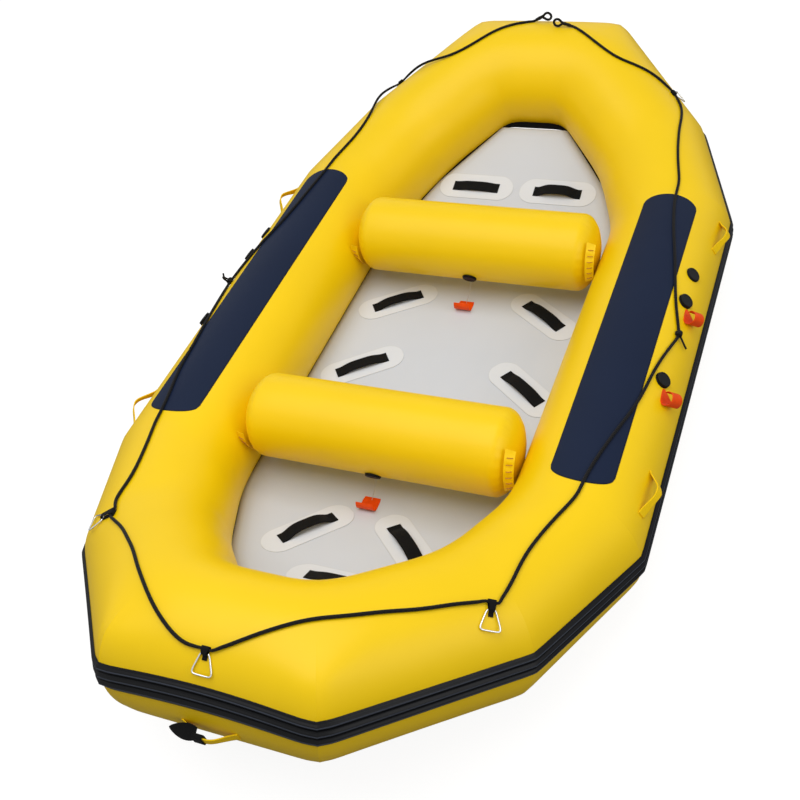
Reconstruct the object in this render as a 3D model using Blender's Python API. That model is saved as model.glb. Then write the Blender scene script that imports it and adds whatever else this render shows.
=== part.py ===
"""Inflatable whitewater raft: welded tube hull, two thwarts, raised floor, grab line and fittings.

Units are metres. +Z is up, +Y runs from the bow to the stern, +X is the port side.
The origin is the middle of the floor's flat underside, where the raft stands.
"""

import math

import bmesh
import bpy
import numpy as np
from mathutils import Matrix, Vector

# Clearances
SEAT_GAP = 0.0003
LOOP_GAP = 0.0005
CUT_OVERRUN = 0.006

# Hull tube: size of the section, and its axis corners in one quarter of the plan
TUBE_RADIUS = 0.225
TUBE_WALL = 0.0012
BULKHEAD_THICKNESS = 0.0012
SIDE_AXIS_X = 0.711
SIDE_CORNER_Y = 0.787
SHOULDER_CORNER_X = 0.550
SHOULDER_CORNER_Y = 1.191
END_CORNER_X = 0.226
END_CORNER_Y = 1.539
SHOULDER_RISE = 0.083
END_RISE = 0.241
SIDE_BEND_TRIM = 0.050
SHOULDER_BEND_TRIM = 0.050
END_BEND_TRIM = 0.125
TUBE_SIDES = 24

# Thwarts, the two seat tubes across the hull
THWART_RADIUS = 0.149
THWART_AXIS_HEIGHT = 0.320
THWART_DOME_DEPTH = 0.075
THWART_WALL = 0.0012
BOW_THWART_Y = -0.561
STERN_THWART_Y = 0.492
THWART_SIDES = 24
THWART_VALVE_ANGLE = -30.0

# Floor panel
FLOOR_THICKNESS = 0.112
FLOOR_WALL = 0.0015
FLOOR_SHOULDER_SLACK = 0.010
FLOOR_END_SLACK = 0.003
FLOOR_END_SAG = 0.022

# Rubbing strake round the outside
STRAKE_HALF_ANGLE = 9.5
STRAKE_SIDE_ANGLE = 0.0
STRAKE_SIDE_CORNER_ANGLE = 1.0
STRAKE_BOW_SHOULDER_ANGLE = 10.0
STRAKE_BOW_CORNER_ANGLE = 19.0
STRAKE_BOW_ANGLE = 23.0
STRAKE_STERN_SHOULDER_ANGLE = 2.0
STRAKE_STERN_CORNER_ANGLE = 4.0
STRAKE_STERN_ANGLE = 5.0
STRAKE_TWIST = 4.0
STRAKE_EDGE_HEIGHT = 0.003
STRAKE_VALLEY_HEIGHT = 0.005
STRAKE_RIB_HEIGHT = 0.010

# Wear patches on the top of the side tubes
WEAR_THICKNESS = 0.0012
WEAR_HALF_LENGTH = 0.730
WEAR_CORNER_DROP = 0.056
WEAR_CENTRE_ANGLE = 86.0
WEAR_HALF_ANGLE = 26.0

# Valves in the side tubes, the thwarts and the floor
VALVE_FLANGE_RADIUS = 0.030
VALVE_FLANGE_HEIGHT = 0.004
VALVE_BARREL_RADIUS = 0.021
VALVE_BORE_RADIUS = 0.017
VALVE_DEPTH = 0.030
VALVE_SIDES = 16
VALVE_CAP_RADIUS = 0.027
VALVE_CAP_HEIGHT = 0.008
VALVE_PLUG_DEPTH = 0.012
VALVE_FLUTE_DEPTH = 0.0012
VALVE_ANGLE = 45.0
RELIEF_VALVE_Y = 0.345
STERN_VALVE_Y = 0.197
BOW_VALVE_Y = -0.202
FLOOR_PORT_RADIUS = 0.015

# Grab line, its keepers and the rings that hang in them
ROPE_RADIUS = 0.005
ROPE_STAND_OFF = 0.0026
ROPE_POINT_SPACING = 0.130
KNOT_SCALE = 1.9
EYE_RADIUS = 0.016
EYE_MIDDLE_X = 0.047
EYE_HALF_SPACING = 0.029
KEEPER_WIDTH = 0.018
SHORT_KEEPER_LENGTH = 0.020
MIDDLE_KEEPER_LENGTH = 0.030
LONG_KEEPER_LENGTH = 0.055
KEEPER_THICKNESS = 0.002
RING_WIRE_RADIUS = 0.0025
RING_LENGTH = 0.056
RING_BASE_HALF_WIDTH = 0.030
RING_CORNER_RADIUS = 0.008
RING_SURFACE_GAP = 0.0020

# Carry handles
HANDLE_WIDTH = 0.030
HANDLE_THICKNESS = 0.004
HANDLE_HALF_SPAN = 0.085
HANDLE_HEIGHT = 0.045
SIDE_HANDLE_Y = 0.640
SIDE_HANDLE_ANGLE = 28.0
BOW_HANDLE_ANGLE = -5.0
WRAP_THICKNESS = 0.0025
WRAP_HALF_WIDTH = 0.017
WRAP_POINT_LENGTH = 0.058
WRAP_OFFSET = -0.020

# Foot straps on the floor
STRAP_WIDTH = 0.050
STRAP_THICKNESS = 0.0025
STRAP_HALF_LENGTH = 0.105
STRAP_HEIGHT = 0.032
FLAT_STRAP_HEIGHT = 0.022

# Vinyl tags on the valves
TAG_THICKNESS = 0.0012
TAG_TAIL_WIDTH = 0.012
TAG_WIDTH = 0.058
TAG_RUN = 0.048
TAG_CURL_RADIUS = 0.023
TAG_HEADING = 60.0
FLOOR_TAG_CORD_WIDTH = 0.003
FLOOR_TAG_WIDTH = 0.056
FLOOR_TAG_RUN = 0.036
FLOOR_TAG_CURL_RADIUS = 0.024
FLOOR_TAG_SHIFT = 0.027

# Places of the foot straps: shares of the floor's half-width and half-length, direction in the plan,
# and whether the arch lies flat
FOOT_STRAP_SHARES = (
    ("foot_strap_stern_starboard", -0.537, 0.790, 0.0, True),
    ("foot_strap_stern_port", 0.482, 0.790, 0.0, False),
    ("foot_strap_mid_stern_port", 0.617, 0.253, -35.0, False),
    ("foot_strap_mid_stern_starboard", -0.642, 0.243, 35.0, False),
    ("foot_strap_mid_bow_port", 0.681, -0.057, -37.0, False),
    ("foot_strap_mid_bow_starboard", -0.654, -0.053, 37.0, False),
    ("foot_strap_bow_middle", 0.110, -0.845, 0.0, False),
    ("foot_strap_bow_port", 0.394, -0.666, -46.0, False),
    ("foot_strap_bow_starboard", -0.424, -0.679, 54.0, False),
)

# Grab line on each side, from the stern middle to the bow middle:
# segment kind, share of the way from its stern end to its bow end, and angle round the tube
GRAB_PORT_SHARES = (
    ("stern end", 0.80, 89.0),
    ("stern quarter", 0.035, 99.0),
    ("stern quarter", 0.32, 87.0),
    ("stern quarter", 0.53, 62.0),
    ("stern shoulder", 0.06, 62.0),
    ("stern shoulder", 0.21, 68.0),
    ("stern shoulder", 0.60, 78.0),
    ("side", 0.03, 83.5),
    ("side", 0.15, 77.0),
    ("side", 0.285, 65.0),
    ("side", 0.37, 57.5),
    ("side", 0.42, 52.0),
    ("side", 0.482, 43.5),
    ("side", 0.56, 50.5),
    ("side", 0.62, 55.5),
    ("side", 0.71, 60.0),
    ("side", 0.777, 66.0),
    ("side", 0.87, 75.5),
    ("side", 0.97, 82.5),
    ("bow shoulder", 0.37, 81.0),
    ("bow shoulder", 0.715, 75.5),
    ("bow quarter", 0.30, 71.0),
    ("bow quarter", 0.47, 73.0),
    ("bow quarter", 0.63, 77.0),
    ("bow quarter", 0.99, 89.0),
    ("bow end", 0.10, 87.0),
    ("bow end", 0.26, 74.5),
    ("bow end", 0.40, 63.0),
)
GRAB_STARBOARD_SHARES = (
    ("stern end", 0.60, 76.0),
    ("stern end", 0.72, 84.0),
    ("stern quarter", 0.075, 101.0),
    ("stern quarter", 0.385, 86.0),
    ("stern quarter", 0.58, 66.0),
    ("stern shoulder", 0.325, 76.0),
    ("stern shoulder", 0.545, 82.0),
    ("side", 0.0, 83.0),
    ("side", 0.12, 79.0),
    ("side", 0.283, 70.0),
    ("side", 0.37, 57.5),
    ("side", 0.42, 52.0),
    ("side", 0.482, 43.5),
    ("side", 0.56, 50.5),
    ("side", 0.62, 55.5),
    ("side", 0.745, 65.0),
    ("side", 0.832, 69.5),
    ("side", 0.916, 78.5),
    ("bow shoulder", 0.035, 84.0),
    ("bow shoulder", 0.49, 83.0),
    ("bow shoulder", 0.79, 79.0),
    ("bow quarter", 0.37, 78.5),
    ("bow quarter", 0.585, 82.0),
    ("bow quarter", 0.825, 86.0),
    ("bow quarter", 0.985, 85.0),
    ("bow end", 0.125, 77.0),
    ("bow end", 0.21, 69.0),
    ("bow end", 0.32, 60.5),
    ("bow end", 0.40, 56.5),
)
KNOT_PLACE_SHARE = 0.482

# Keepers: segment kind, share, angle round the tube, length inside the loop,
# and the angle by which the ring leans toward the bow
STERN_KEEPER = ("stern quarter", 0.75, 51.0, SHORT_KEEPER_LENGTH, 0.0)
BOW_PORT_KEEPER = ("bow quarter", 0.13, 63.0, MIDDLE_KEEPER_LENGTH, 25.0)
BOW_STARBOARD_KEEPER = ("bow quarter", 0.12, 69.0, LONG_KEEPER_LENGTH, -32.0)
END_KEEPER = ("bow end", 0.50, 59.0, SHORT_KEEPER_LENGTH, 0.0)

YELLOW = ("yellow_pvc", (0.91, 0.64, 0.02), 0.38, 0.0)
NAVY = ("navy_pvc", (0.019, 0.032, 0.065), 0.62, 0.0)
GREY = ("grey_floor_pvc", (0.56, 0.56, 0.56), 0.60, 0.0)
BLACK_RUBBER = ("black_rubber", (0.010, 0.011, 0.016), 0.50, 0.0)
BLACK_PLASTIC = ("black_plastic", (0.012, 0.012, 0.014), 0.42, 0.0)
BLACK_WEBBING = ("black_webbing", (0.008, 0.008, 0.009), 0.90, 0.0)
BLACK_ROPE = ("black_rope", (0.010, 0.010, 0.011), 0.80, 0.0)
ORANGE = ("orange_vinyl", (0.80, 0.075, 0.010), 0.35, 0.0)
STEEL = ("polished_steel", (0.78, 0.76, 0.72), 0.20, 1.0)


# Scene and materials

def clear_scene():
    for old in list(bpy.data.objects):
        bpy.data.objects.remove(old, do_unlink=True)


def material(finish):
    name, colour, roughness, metallic = finish
    found = bpy.data.materials.get(name)
    if found:
        return found
    made = bpy.data.materials.new(name)
    made.use_nodes = True
    shader = made.node_tree.nodes["Principled BSDF"]
    shader.inputs["Base Color"].default_value = (*colour, 1.0)
    shader.inputs["Roughness"].default_value = roughness
    shader.inputs["Metallic"].default_value = metallic
    return made


def add_object(name, data, finish, place=None):
    made = bpy.data.objects.new(name, data)
    bpy.context.scene.collection.objects.link(made)
    if finish:
        data.materials.append(material(finish))
    if place is not None:
        made.matrix_world = place
    return made


def add_mesh(name, shape, finish, place=None, smooth=True):
    """Close a bmesh into an object with its faces pointing out."""
    bmesh.ops.recalc_face_normals(shape, faces=shape.faces)
    mesh = bpy.data.meshes.new(name)
    shape.to_mesh(mesh)
    shape.free()
    if smooth:
        mesh.shade_smooth()
        mesh.set_sharp_from_angle(angle=math.radians(40.0))
    return add_object(name, mesh, finish, place)


# Hull axis: twelve corners, anticlockwise from the port side's stern corner

def hull_corners():
    quarter = (
        (SIDE_AXIS_X, SIDE_CORNER_Y, 0.0, SIDE_BEND_TRIM),
        (SHOULDER_CORNER_X, SHOULDER_CORNER_Y, SHOULDER_RISE, SHOULDER_BEND_TRIM),
        (END_CORNER_X, END_CORNER_Y, END_RISE, END_BEND_TRIM),
    )
    corners = []
    for side, end in ((1, 1), (-1, 1), (-1, -1), (1, -1)):
        ordered = quarter if side == end else quarter[::-1]
        for x, y, rise, trim in ordered:
            corners.append((Vector((side * x, end * y, TUBE_RADIUS + rise)), trim))
    return corners


CORNERS = hull_corners()
SEAT_STEPS = 12
SEGMENTS = (
    "shoulder_stern_port",
    "quarter_stern_port",
    "end_stern",
    "quarter_stern_starboard",
    "shoulder_stern_starboard",
    "side_starboard",
    "shoulder_bow_starboard",
    "quarter_bow_starboard",
    "end_bow",
    "quarter_bow_port",
    "shoulder_bow_port",
    "side_port",
)
PORT_SIDE = SEGMENTS.index("side_port")
STARBOARD_SIDE = SEGMENTS.index("side_starboard")
STERN_END = SEGMENTS.index("end_stern")
BOW_END = SEGMENTS.index("end_bow")


def corner(index):
    return CORNERS[index % len(CORNERS)]


def segment_length(index):
    return (corner(index + 1)[0] - corner(index)[0]).length


def bend_point(index, along):
    """Place and direction on the rounded bend at a corner, along from 0 to 1."""
    middle, trim = corner(index)
    before = (corner(index - 1)[0] - middle).normalized()
    after = (corner(index + 1)[0] - middle).normalized()
    start = middle + trim * before
    end = middle + trim * after
    place = (1 - along) ** 2 * start + 2 * along * (1 - along) * middle + along ** 2 * end
    heading = (1 - along) * (middle - start) + along * (end - middle)
    return place, heading


def axis_station(index, share):
    """Centre, outward, up and forward directions of the tube at a share of a segment."""
    length = segment_length(index)
    start, start_trim = corner(index)
    end, end_trim = corner(index + 1)
    reach = share * length
    if reach < start_trim:
        place, heading = bend_point(index, (1 + reach / start_trim) / 2)
    elif length - reach < end_trim:
        place, heading = bend_point(index + 1, (1 - (length - reach) / end_trim) / 2)
    else:
        place = start.lerp(end, share)
        heading = end - start
    forward = heading.normalized()
    outward = Vector((forward.y, -forward.x, 0.0)).normalized()
    return place, outward, outward.cross(forward), forward


def tube_point(index, share, angle, height):
    """A point on the hull tube, height above its round surface."""
    centre, outward, up, _ = axis_station(index, share)
    turn = math.radians(angle)
    return centre + (TUBE_RADIUS + height) * (math.cos(turn) * outward + math.sin(turn) * up)


def seat_reach(angle, half_width):
    """Distance from the axis at which a flat piece meets the tube's many-sided skin."""
    step = math.tau / TUBE_SIDES
    spread = half_width / TUBE_RADIUS
    reach = 0.0
    for place in range(-SEAT_STEPS, SEAT_STEPS + 1):
        lean = spread * place / SEAT_STEPS
        inside = (math.radians(angle) + lean) % step - step / 2
        skin = TUBE_RADIUS * math.cos(step / 2) / math.cos(inside)
        reach = max(reach, skin * math.cos(lean))
    return reach


def tube_frame(index, share, angle, half_width):
    """Frame seated on the tube's skin: X forward along the tube, Y up the slope, Z outward."""
    centre, outward, up, forward = axis_station(index, share)
    turn = math.radians(angle)
    normal = math.cos(turn) * outward + math.sin(turn) * up
    slope = normal.cross(forward)
    origin = centre + seat_reach(angle, half_width) * normal
    return frame_matrix(origin, forward, slope, normal)


def frame_matrix(origin, x_axis, y_axis, z_axis):
    turned = Matrix((x_axis, y_axis, z_axis)).transposed().to_4x4()
    return Matrix.Translation(origin) @ turned


# Hull panels

def panel_shares(index):
    """Ring places of one panel, as shares of its segment."""
    length = segment_length(index)
    start_trim = corner(index)[1]
    end_trim = corner(index + 1)[1]
    places = [0.0]
    if start_trim == END_BEND_TRIM:
        places.append(start_trim / length / 2)
    places.append(start_trim / length)
    places.append(1 - end_trim / length)
    if end_trim == END_BEND_TRIM:
        places.append(1 - end_trim / length / 2)
    places.append(1.0)
    return places


def ring_points(index, share, radius, shift=0.0):
    centre, outward, up, forward = axis_station(index, share)
    points = []
    for step in range(TUBE_SIDES):
        turn = math.tau * step / TUBE_SIDES
        reach = math.cos(turn) * outward + math.sin(turn) * up
        points.append(centre + shift * forward + radius * reach)
    return points


def add_loops(shape, loops):
    return [[shape.verts.new(point) for point in loop] for loop in loops]


def bridge(shape, first, second):
    count = len(first)
    for step in range(count):
        following = (step + 1) % count
        shape.faces.new((first[step], first[following], second[following], second[step]))


def hull_panel(index):
    """Thin open tube with a welded bulkhead across its middle where the hull has one."""
    shares = panel_shares(index)
    last = len(shares) - 1
    shape = bmesh.new()
    outer = []
    inner = []
    for place, share in enumerate(shares):
        shift = SEAT_GAP / 2 * ((place == 0) - (place == last))
        outer.append(ring_points(index, share, TUBE_RADIUS, shift))
        inner.append(ring_points(index, share, TUBE_RADIUS - TUBE_WALL, shift))
    outer = add_loops(shape, outer)
    for first, second in zip(outer, outer[1:]):
        bridge(shape, first, second)
    if SEGMENTS[index].startswith(("side", "end")):
        middle = len(inner) // 2
        half = BULKHEAD_THICKNESS / 2
        inner_radius = TUBE_RADIUS - TUBE_WALL
        near = add_loops(shape, inner[:middle] + [ring_points(index, 0.5, inner_radius, -half)])
        far = add_loops(shape, [ring_points(index, 0.5, inner_radius, half)] + inner[middle:])
        for group in (near, far):
            for first, second in zip(group, group[1:]):
                bridge(shape, first, second)
        shape.faces.new(near[-1])
        shape.faces.new(far[0])
        ends = (near[0], far[-1])
    else:
        inside = add_loops(shape, inner)
        for first, second in zip(inside, inside[1:]):
            bridge(shape, first, second)
        ends = (inside[0], inside[-1])
    bridge(shape, outer[0], ends[0])
    bridge(shape, outer[-1], ends[1])
    return add_mesh("hull_" + SEGMENTS[index], shape, YELLOW)


def side_share(index, y):
    """Share of a side segment at a place along the raft."""
    start = corner(index)[0].y
    end = corner(index + 1)[0].y
    return (y - start) / (end - start)


# Turned parts: valves

def turned(profile, sides, closed, flute=None):
    """Spin (radius, height) pairs about Z. A flute draws every other corner of one pair in."""
    shape = bmesh.new()
    rows = []
    for number, (radius, height) in enumerate(profile):
        if radius == 0:
            rows.append([shape.verts.new((0.0, 0.0, height))])
            continue
        row = []
        for step in range(sides):
            turn = math.tau * step / sides
            drawn = VALVE_FLUTE_DEPTH if flute and number in flute and step % 2 else 0.0
            reach = radius - drawn
            row.append(shape.verts.new((reach * math.cos(turn), reach * math.sin(turn), height)))
        rows.append(row)
    pairs = list(zip(rows, rows[1:]))
    if closed:
        pairs.append((rows[-1], rows[0]))
    for first, second in pairs:
        if len(first) == 1 or len(second) == 1:
            pole, rim = (first[0], second) if len(first) == 1 else (second[0], first)
            for step in range(sides):
                shape.faces.new((pole, rim[step], rim[(step + 1) % sides]))
        else:
            bridge(shape, first, second)
    return shape


def cutter(name, radius, depth, place):
    """A round cutter along a frame's Z axis, from above its origin to a depth below it."""
    profile = ((0.0, -depth), (radius, -depth), (radius, CUT_OVERRUN), (0.0, CUT_OVERRUN))
    shape = turned(profile, VALVE_SIDES, False)
    made = add_mesh(name, shape, None, place, smooth=False)
    made.hide_render = True
    made.display_type = "WIRE"
    return made


def cut(target, tool):
    modifier = target.modifiers.new(tool.name, "BOOLEAN")
    modifier.operation = "DIFFERENCE"
    modifier.solver = "EXACT"
    modifier.object = tool


def valve_seat(target, name, place):
    cut(target, cutter(name + "_cutter", VALVE_BARREL_RADIUS + SEAT_GAP, CUT_OVERRUN, place))


VALVE_TOP = SEAT_GAP + VALVE_FLANGE_HEIGHT


def valve_body(name, finish, place):
    """Flanged barrel with an open bore, seated through the tube's wall."""
    profile = (
        (VALVE_BORE_RADIUS, -VALVE_DEPTH),
        (VALVE_BARREL_RADIUS, -VALVE_DEPTH),
        (VALVE_BARREL_RADIUS, SEAT_GAP),
        (VALVE_FLANGE_RADIUS, SEAT_GAP),
        (VALVE_CAP_RADIUS, VALVE_TOP),
        (VALVE_BORE_RADIUS, VALVE_TOP),
    )
    return add_mesh(name, turned(profile, VALVE_SIDES, True), finish, place)


def valve_cap(name, place):
    """Turning cap whose plug fills the top of the bore."""
    base = VALVE_TOP + SEAT_GAP
    profile = (
        (0.0, VALVE_TOP - VALVE_PLUG_DEPTH),
        (VALVE_BORE_RADIUS - SEAT_GAP, VALVE_TOP - VALVE_PLUG_DEPTH),
        (VALVE_BORE_RADIUS - SEAT_GAP, base),
        (VALVE_CAP_RADIUS, base),
        (VALVE_CAP_RADIUS, base + VALVE_CAP_HEIGHT * 3 / 4),
        (VALVE_CAP_RADIUS * 4 / 5, base + VALVE_CAP_HEIGHT),
        (0.0, base + VALVE_CAP_HEIGHT),
    )
    return add_mesh(name, turned(profile, VALVE_SIDES, False, flute=(3, 4)), BLACK_PLASTIC, place)


def capped_valve(name, finish, place):
    """Valve whose cap is fixed: barrel, flange and domed cover in one piece."""
    profile = (
        (0.0, -VALVE_PLUG_DEPTH),
        (VALVE_BORE_RADIUS, -VALVE_PLUG_DEPTH),
        (VALVE_BORE_RADIUS, -VALVE_DEPTH),
        (VALVE_BARREL_RADIUS, -VALVE_DEPTH),
        (VALVE_BARREL_RADIUS, SEAT_GAP),
        (VALVE_FLANGE_RADIUS, SEAT_GAP),
        (VALVE_CAP_RADIUS, VALVE_TOP),
        (VALVE_CAP_RADIUS * 4 / 5, VALVE_TOP + VALVE_CAP_HEIGHT / 2),
        (0.0, VALVE_TOP + VALVE_CAP_HEIGHT / 2),
    )
    return add_mesh(name, turned(profile, VALVE_SIDES, False), finish, place)


# Bands: flat straps bent in one plane

def band(path, thickness, widths, closed=False):
    """Sweep a flat strap along (x, z) points; widths holds one (y low, y high) pair a point."""
    count = len(path)
    shape = bmesh.new()
    rows = []
    for place in range(count):
        here = Vector(path[place])
        before = Vector(path[(place - 1) % count]) if closed or place > 0 else None
        after = Vector(path[(place + 1) % count]) if closed or place < count - 1 else None
        arriving = (here - before).normalized() if before is not None else None
        leaving = (after - here).normalized() if after is not None else arriving
        arriving = arriving if arriving is not None else leaving
        heading = (arriving + leaving).normalized()
        side = Vector((-heading.y, heading.x)) / max(heading.dot(leaving), 0.5)
        low, high = widths[place]
        row = []
        for sign, y in ((-1, low), (-1, high), (1, high), (1, low)):
            point = here + sign * thickness / 2 * side
            row.append(shape.verts.new((point.x, y, point.y)))
        rows.append(row)
    pairs = list(zip(rows, rows[1:]))
    if closed:
        pairs.append((rows[-1], rows[0]))
    for first, second in pairs:
        bridge(shape, first, second)
    if not closed:
        shape.faces.new(rows[0])
        shape.faces.new(rows[-1])
    return shape


ARCH_SHARES = ((-1.0, 0.0), (-0.72, 0.0), (-0.60, 0.34), (-0.36, 0.80), (0.0, 1.0))


def arch_path(half_span, height, thickness):
    """Flat feet and a rounded arch, resting a seat gap above the plane."""
    rest = SEAT_GAP + thickness / 2
    rise = height - thickness
    half = [(x * half_span, rest + z * rise) for x, z in ARCH_SHARES]
    return half + [(-x, z) for x, z in reversed(half[:-1])]


def arch_strap(name, half_span, height, width, thickness, finish, place):
    path = arch_path(half_span, height, thickness)
    widths = [(-width / 2, width / 2)] * len(path)
    return add_mesh(name, band(path, thickness, widths), finish, place)


def handle_wrap(place):
    """Black webbing wrapped round the bow handle, its outer face drawn out to a point."""
    reach = HANDLE_WIDTH / 2 + LOOP_GAP + WRAP_THICKNESS / 2
    middle = SEAT_GAP + HANDLE_HEIGHT - HANDLE_THICKNESS / 2
    clear = HANDLE_THICKNESS / 2 + LOOP_GAP + WRAP_THICKNESS / 2
    drop = HANDLE_HEIGHT * (1 - ARCH_SHARES[3][1]) * -WRAP_OFFSET / (-ARCH_SHARES[3][0] * HANDLE_HALF_SPAN)
    low = middle - clear - drop - WRAP_HALF_WIDTH / 2
    high = middle + clear
    path = [
        (-reach, low), (reach, low), (reach, high),
        (reach / 2, high), (0.0, high), (-reach / 2, high), (-reach, high),
    ]
    tail_shares = (0.0, 0.0, 0.0, 0.62, 1.0, 0.62, 0.0)
    widths = []
    for share in tail_shares:
        tail = WRAP_HALF_WIDTH + share * (WRAP_POINT_LENGTH - WRAP_HALF_WIDTH)
        widths.append((-tail, WRAP_HALF_WIDTH))
    shape = band(path, WRAP_THICKNESS, widths, closed=True)
    middle = Vector((WRAP_OFFSET, 0.0, 0.0))
    turn = frame_matrix(middle, Vector((0, 1, 0)), Vector((1, 0, 0)), Vector((0, 0, 1)))
    bmesh.ops.transform(shape, matrix=turn, verts=shape.verts)
    return add_mesh("bow_handle_wrap", shape, BLACK_WEBBING, place)


# Floor panel

FLOOR_EDGE_RADIUS = FLOOR_THICKNESS / 2
FLOOR_EDGE_DROP = TUBE_RADIUS - FLOOR_EDGE_RADIUS
FLOOR_EDGE_STEPS = 6
SEARCH_STEPS = 720
SEARCH_ROUNDS = 30


def polygon(radius, sides):
    turn = math.tau * np.arange(sides) / sides
    return radius * np.stack([np.cos(turn), np.sin(turn)], axis=1)


def meeting_reach(section, level):
    """Sideways distance from the tube's axis at which a section's skin meets the tube's."""
    turn = math.tau * np.arange(SEARCH_STEPS) / SEARCH_STEPS
    directions = np.stack([np.cos(turn), np.sin(turn)])
    tube = (polygon(TUBE_RADIUS, TUBE_SIDES) @ directions).max(axis=0)
    near = (section @ directions).min(axis=0)
    low, high = 0.0, 2 * TUBE_RADIUS
    for _ in range(SEARCH_ROUNDS):
        middle = (low + high) / 2
        offset = np.array([-middle, level]) @ directions
        if (offset + near - tube).max() < SEAT_GAP:
            low = middle
        else:
            high = middle
    return high


FLOOR_EDGE_REACH = meeting_reach(polygon(FLOOR_EDGE_RADIUS, 2 * FLOOR_EDGE_STEPS), -FLOOR_EDGE_DROP)


def floor_stations():
    """Edge centres from the bow to the stern on the port side, each with its outward direction."""
    bend = SIDE_BEND_TRIM / segment_length(PORT_SIDE)
    places = (
        ("quarter_bow_port", 0.0, FLOOR_END_SLACK, FLOOR_END_SAG),
        ("shoulder_bow_port", 0.0, FLOOR_SHOULDER_SLACK, 0.0),
        ("side_port", bend, 0.0, 0.0),
        ("side_port", 1 - bend, 0.0, 0.0),
        ("quarter_stern_port", 0.0, FLOOR_SHOULDER_SLACK, 0.0),
        ("quarter_stern_port", 1.0, FLOOR_END_SLACK, FLOOR_END_SAG),
    )
    stations = []
    for name, share, slack, sag in places:
        centre, outward, _, _ = axis_station(SEGMENTS.index(name), share)
        edge = centre - (FLOOR_EDGE_REACH + slack) * outward
        edge.z = centre.z - FLOOR_EDGE_DROP - sag
        stations.append((edge, outward))
    return stations


def floor_edge(y):
    """Centre of the floor's rounded port edge at a place along the raft."""
    stations = [edge for edge, _ in floor_stations()]
    for first, second in zip(stations, stations[1:]):
        if first.y <= y <= second.y:
            return first.lerp(second, (y - first.y) / (second.y - first.y))
    raise ValueError("outside the floor")


def floor_height(y):
    """Height of the floor's upper face at a place along the raft."""
    return floor_edge(y).z + FLOOR_EDGE_RADIUS


def floor_panel():
    shape = bmesh.new()
    rims = []
    for edge, outward in floor_stations():
        rim = []
        for side in (1, -1):
            flat = Vector((side * outward.x, outward.y, 0.0))
            middle = Vector((side * edge.x, edge.y, edge.z))
            points = []
            for step in range(FLOOR_EDGE_STEPS + 1):
                turn = math.radians(90.0 - 180.0 * step / FLOOR_EDGE_STEPS)
                across = FLOOR_EDGE_RADIUS * math.cos(turn)
                point = middle + across * flat
                point.z += FLOOR_EDGE_RADIUS * math.sin(turn)
                points.append(shape.verts.new(point))
            rim.append(points)
        rims.append(rim)
    for first, second in zip(rims, rims[1:]):
        for side in (0, 1):
            for step in range(FLOOR_EDGE_STEPS):
                shape.faces.new((first[side][step], second[side][step],
                                 second[side][step + 1], first[side][step + 1]))
        for level in (0, -1):
            shape.faces.new((first[0][level], second[0][level], second[1][level], first[1][level]))
    for rim in (rims[0], rims[-1]):
        for step in range(FLOOR_EDGE_STEPS):
            shape.faces.new((rim[0][step], rim[1][step], rim[1][step + 1], rim[0][step + 1]))
    made = add_mesh("floor_panel", shape, GREY)
    hollow(made, FLOOR_WALL)
    return made


def hollow(target, wall):
    modifier = target.modifiers.new("hollow", "SOLIDIFY")
    modifier.thickness = wall
    modifier.offset = -1.0
    modifier.use_even_offset = True


def floor_frame(x, y, heading=0.0, half_width=0.0):
    """Frame on the floor's upper face, X along the heading, Z square to the face."""
    step = VALVE_BARREL_RADIUS
    slope = (floor_height(y + step) - floor_height(y - step)) / (2 * step)
    normal = Vector((0.0, -slope, 1.0)).normalized()
    turn = math.radians(heading)
    along = Vector((math.cos(turn), math.sin(turn), 0.0))
    along = (along - along.dot(normal) * normal).normalized()
    height = floor_height(y)
    lift = 0.0
    for sign in (-1, 1):
        edge = y + sign * half_width
        lift = max(lift, floor_height(edge) - height - slope * (edge - y))
    origin = Vector((x, y, height + lift))
    return frame_matrix(origin, along, normal.cross(along), normal)


def foot_strap_frame(across, along, heading):
    """Frame of a foot strap at its shares of the floor's half-width and half-length."""
    y = along * floor_stations()[-1][0].y
    return floor_frame(across * floor_edge(y).x, y, heading, STRAP_WIDTH / 2)


# Thwarts

DOME_STEPS = 3


def thwart_half_length():
    """Straight half-length at which the domed ends just meet the side tubes."""
    turn = np.radians(np.linspace(-90.0, 90.0, 2 * DOME_STEPS + 1))
    end = np.stack([THWART_DOME_DEPTH * np.cos(turn), THWART_RADIUS * np.sin(turn)], axis=1)
    return SIDE_AXIS_X - meeting_reach(end, THWART_AXIS_HEIGHT - TUBE_RADIUS)


THWART_STRAIGHT = thwart_half_length()


def thwart(name, y):
    profile = []
    for step in range(DOME_STEPS + 1):
        turn = math.radians(90.0 * step / DOME_STEPS)
        radius = 0.0 if step == 0 else THWART_RADIUS * math.sin(turn)
        profile.append((radius, -THWART_STRAIGHT - THWART_DOME_DEPTH * math.cos(turn)))
    profile += [(radius, -height) for radius, height in reversed(profile)]
    shape = turned(profile, THWART_SIDES, False)
    origin = Vector((0.0, y, THWART_AXIS_HEIGHT))
    place = frame_matrix(origin, Vector((0, 1, 0)), Vector((0, 0, 1)), Vector((1, 0, 0)))
    made = add_mesh(name, shape, YELLOW, place)
    hollow(made, THWART_WALL)
    return made


def thwart_valve_frame(y):
    """Frame on the bow face of a thwart, below its middle, X across the raft."""
    turn = math.radians(THWART_VALVE_ANGLE)
    normal = Vector((0.0, -math.cos(turn), math.sin(turn)))
    across = Vector((1.0, 0.0, 0.0))
    origin = Vector((0.0, y, THWART_AXIS_HEIGHT)) + THWART_RADIUS * normal
    return frame_matrix(origin, across, normal.cross(across), normal)


# Skins on the tube: strake and wear patches

def skin_seat(angle_step):
    """Height at which chords of a given angle clear the round tube by the seat gap."""
    half = math.radians(angle_step) / 2
    return (TUBE_RADIUS + SEAT_GAP) / math.cos(half) - TUBE_RADIUS


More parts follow.
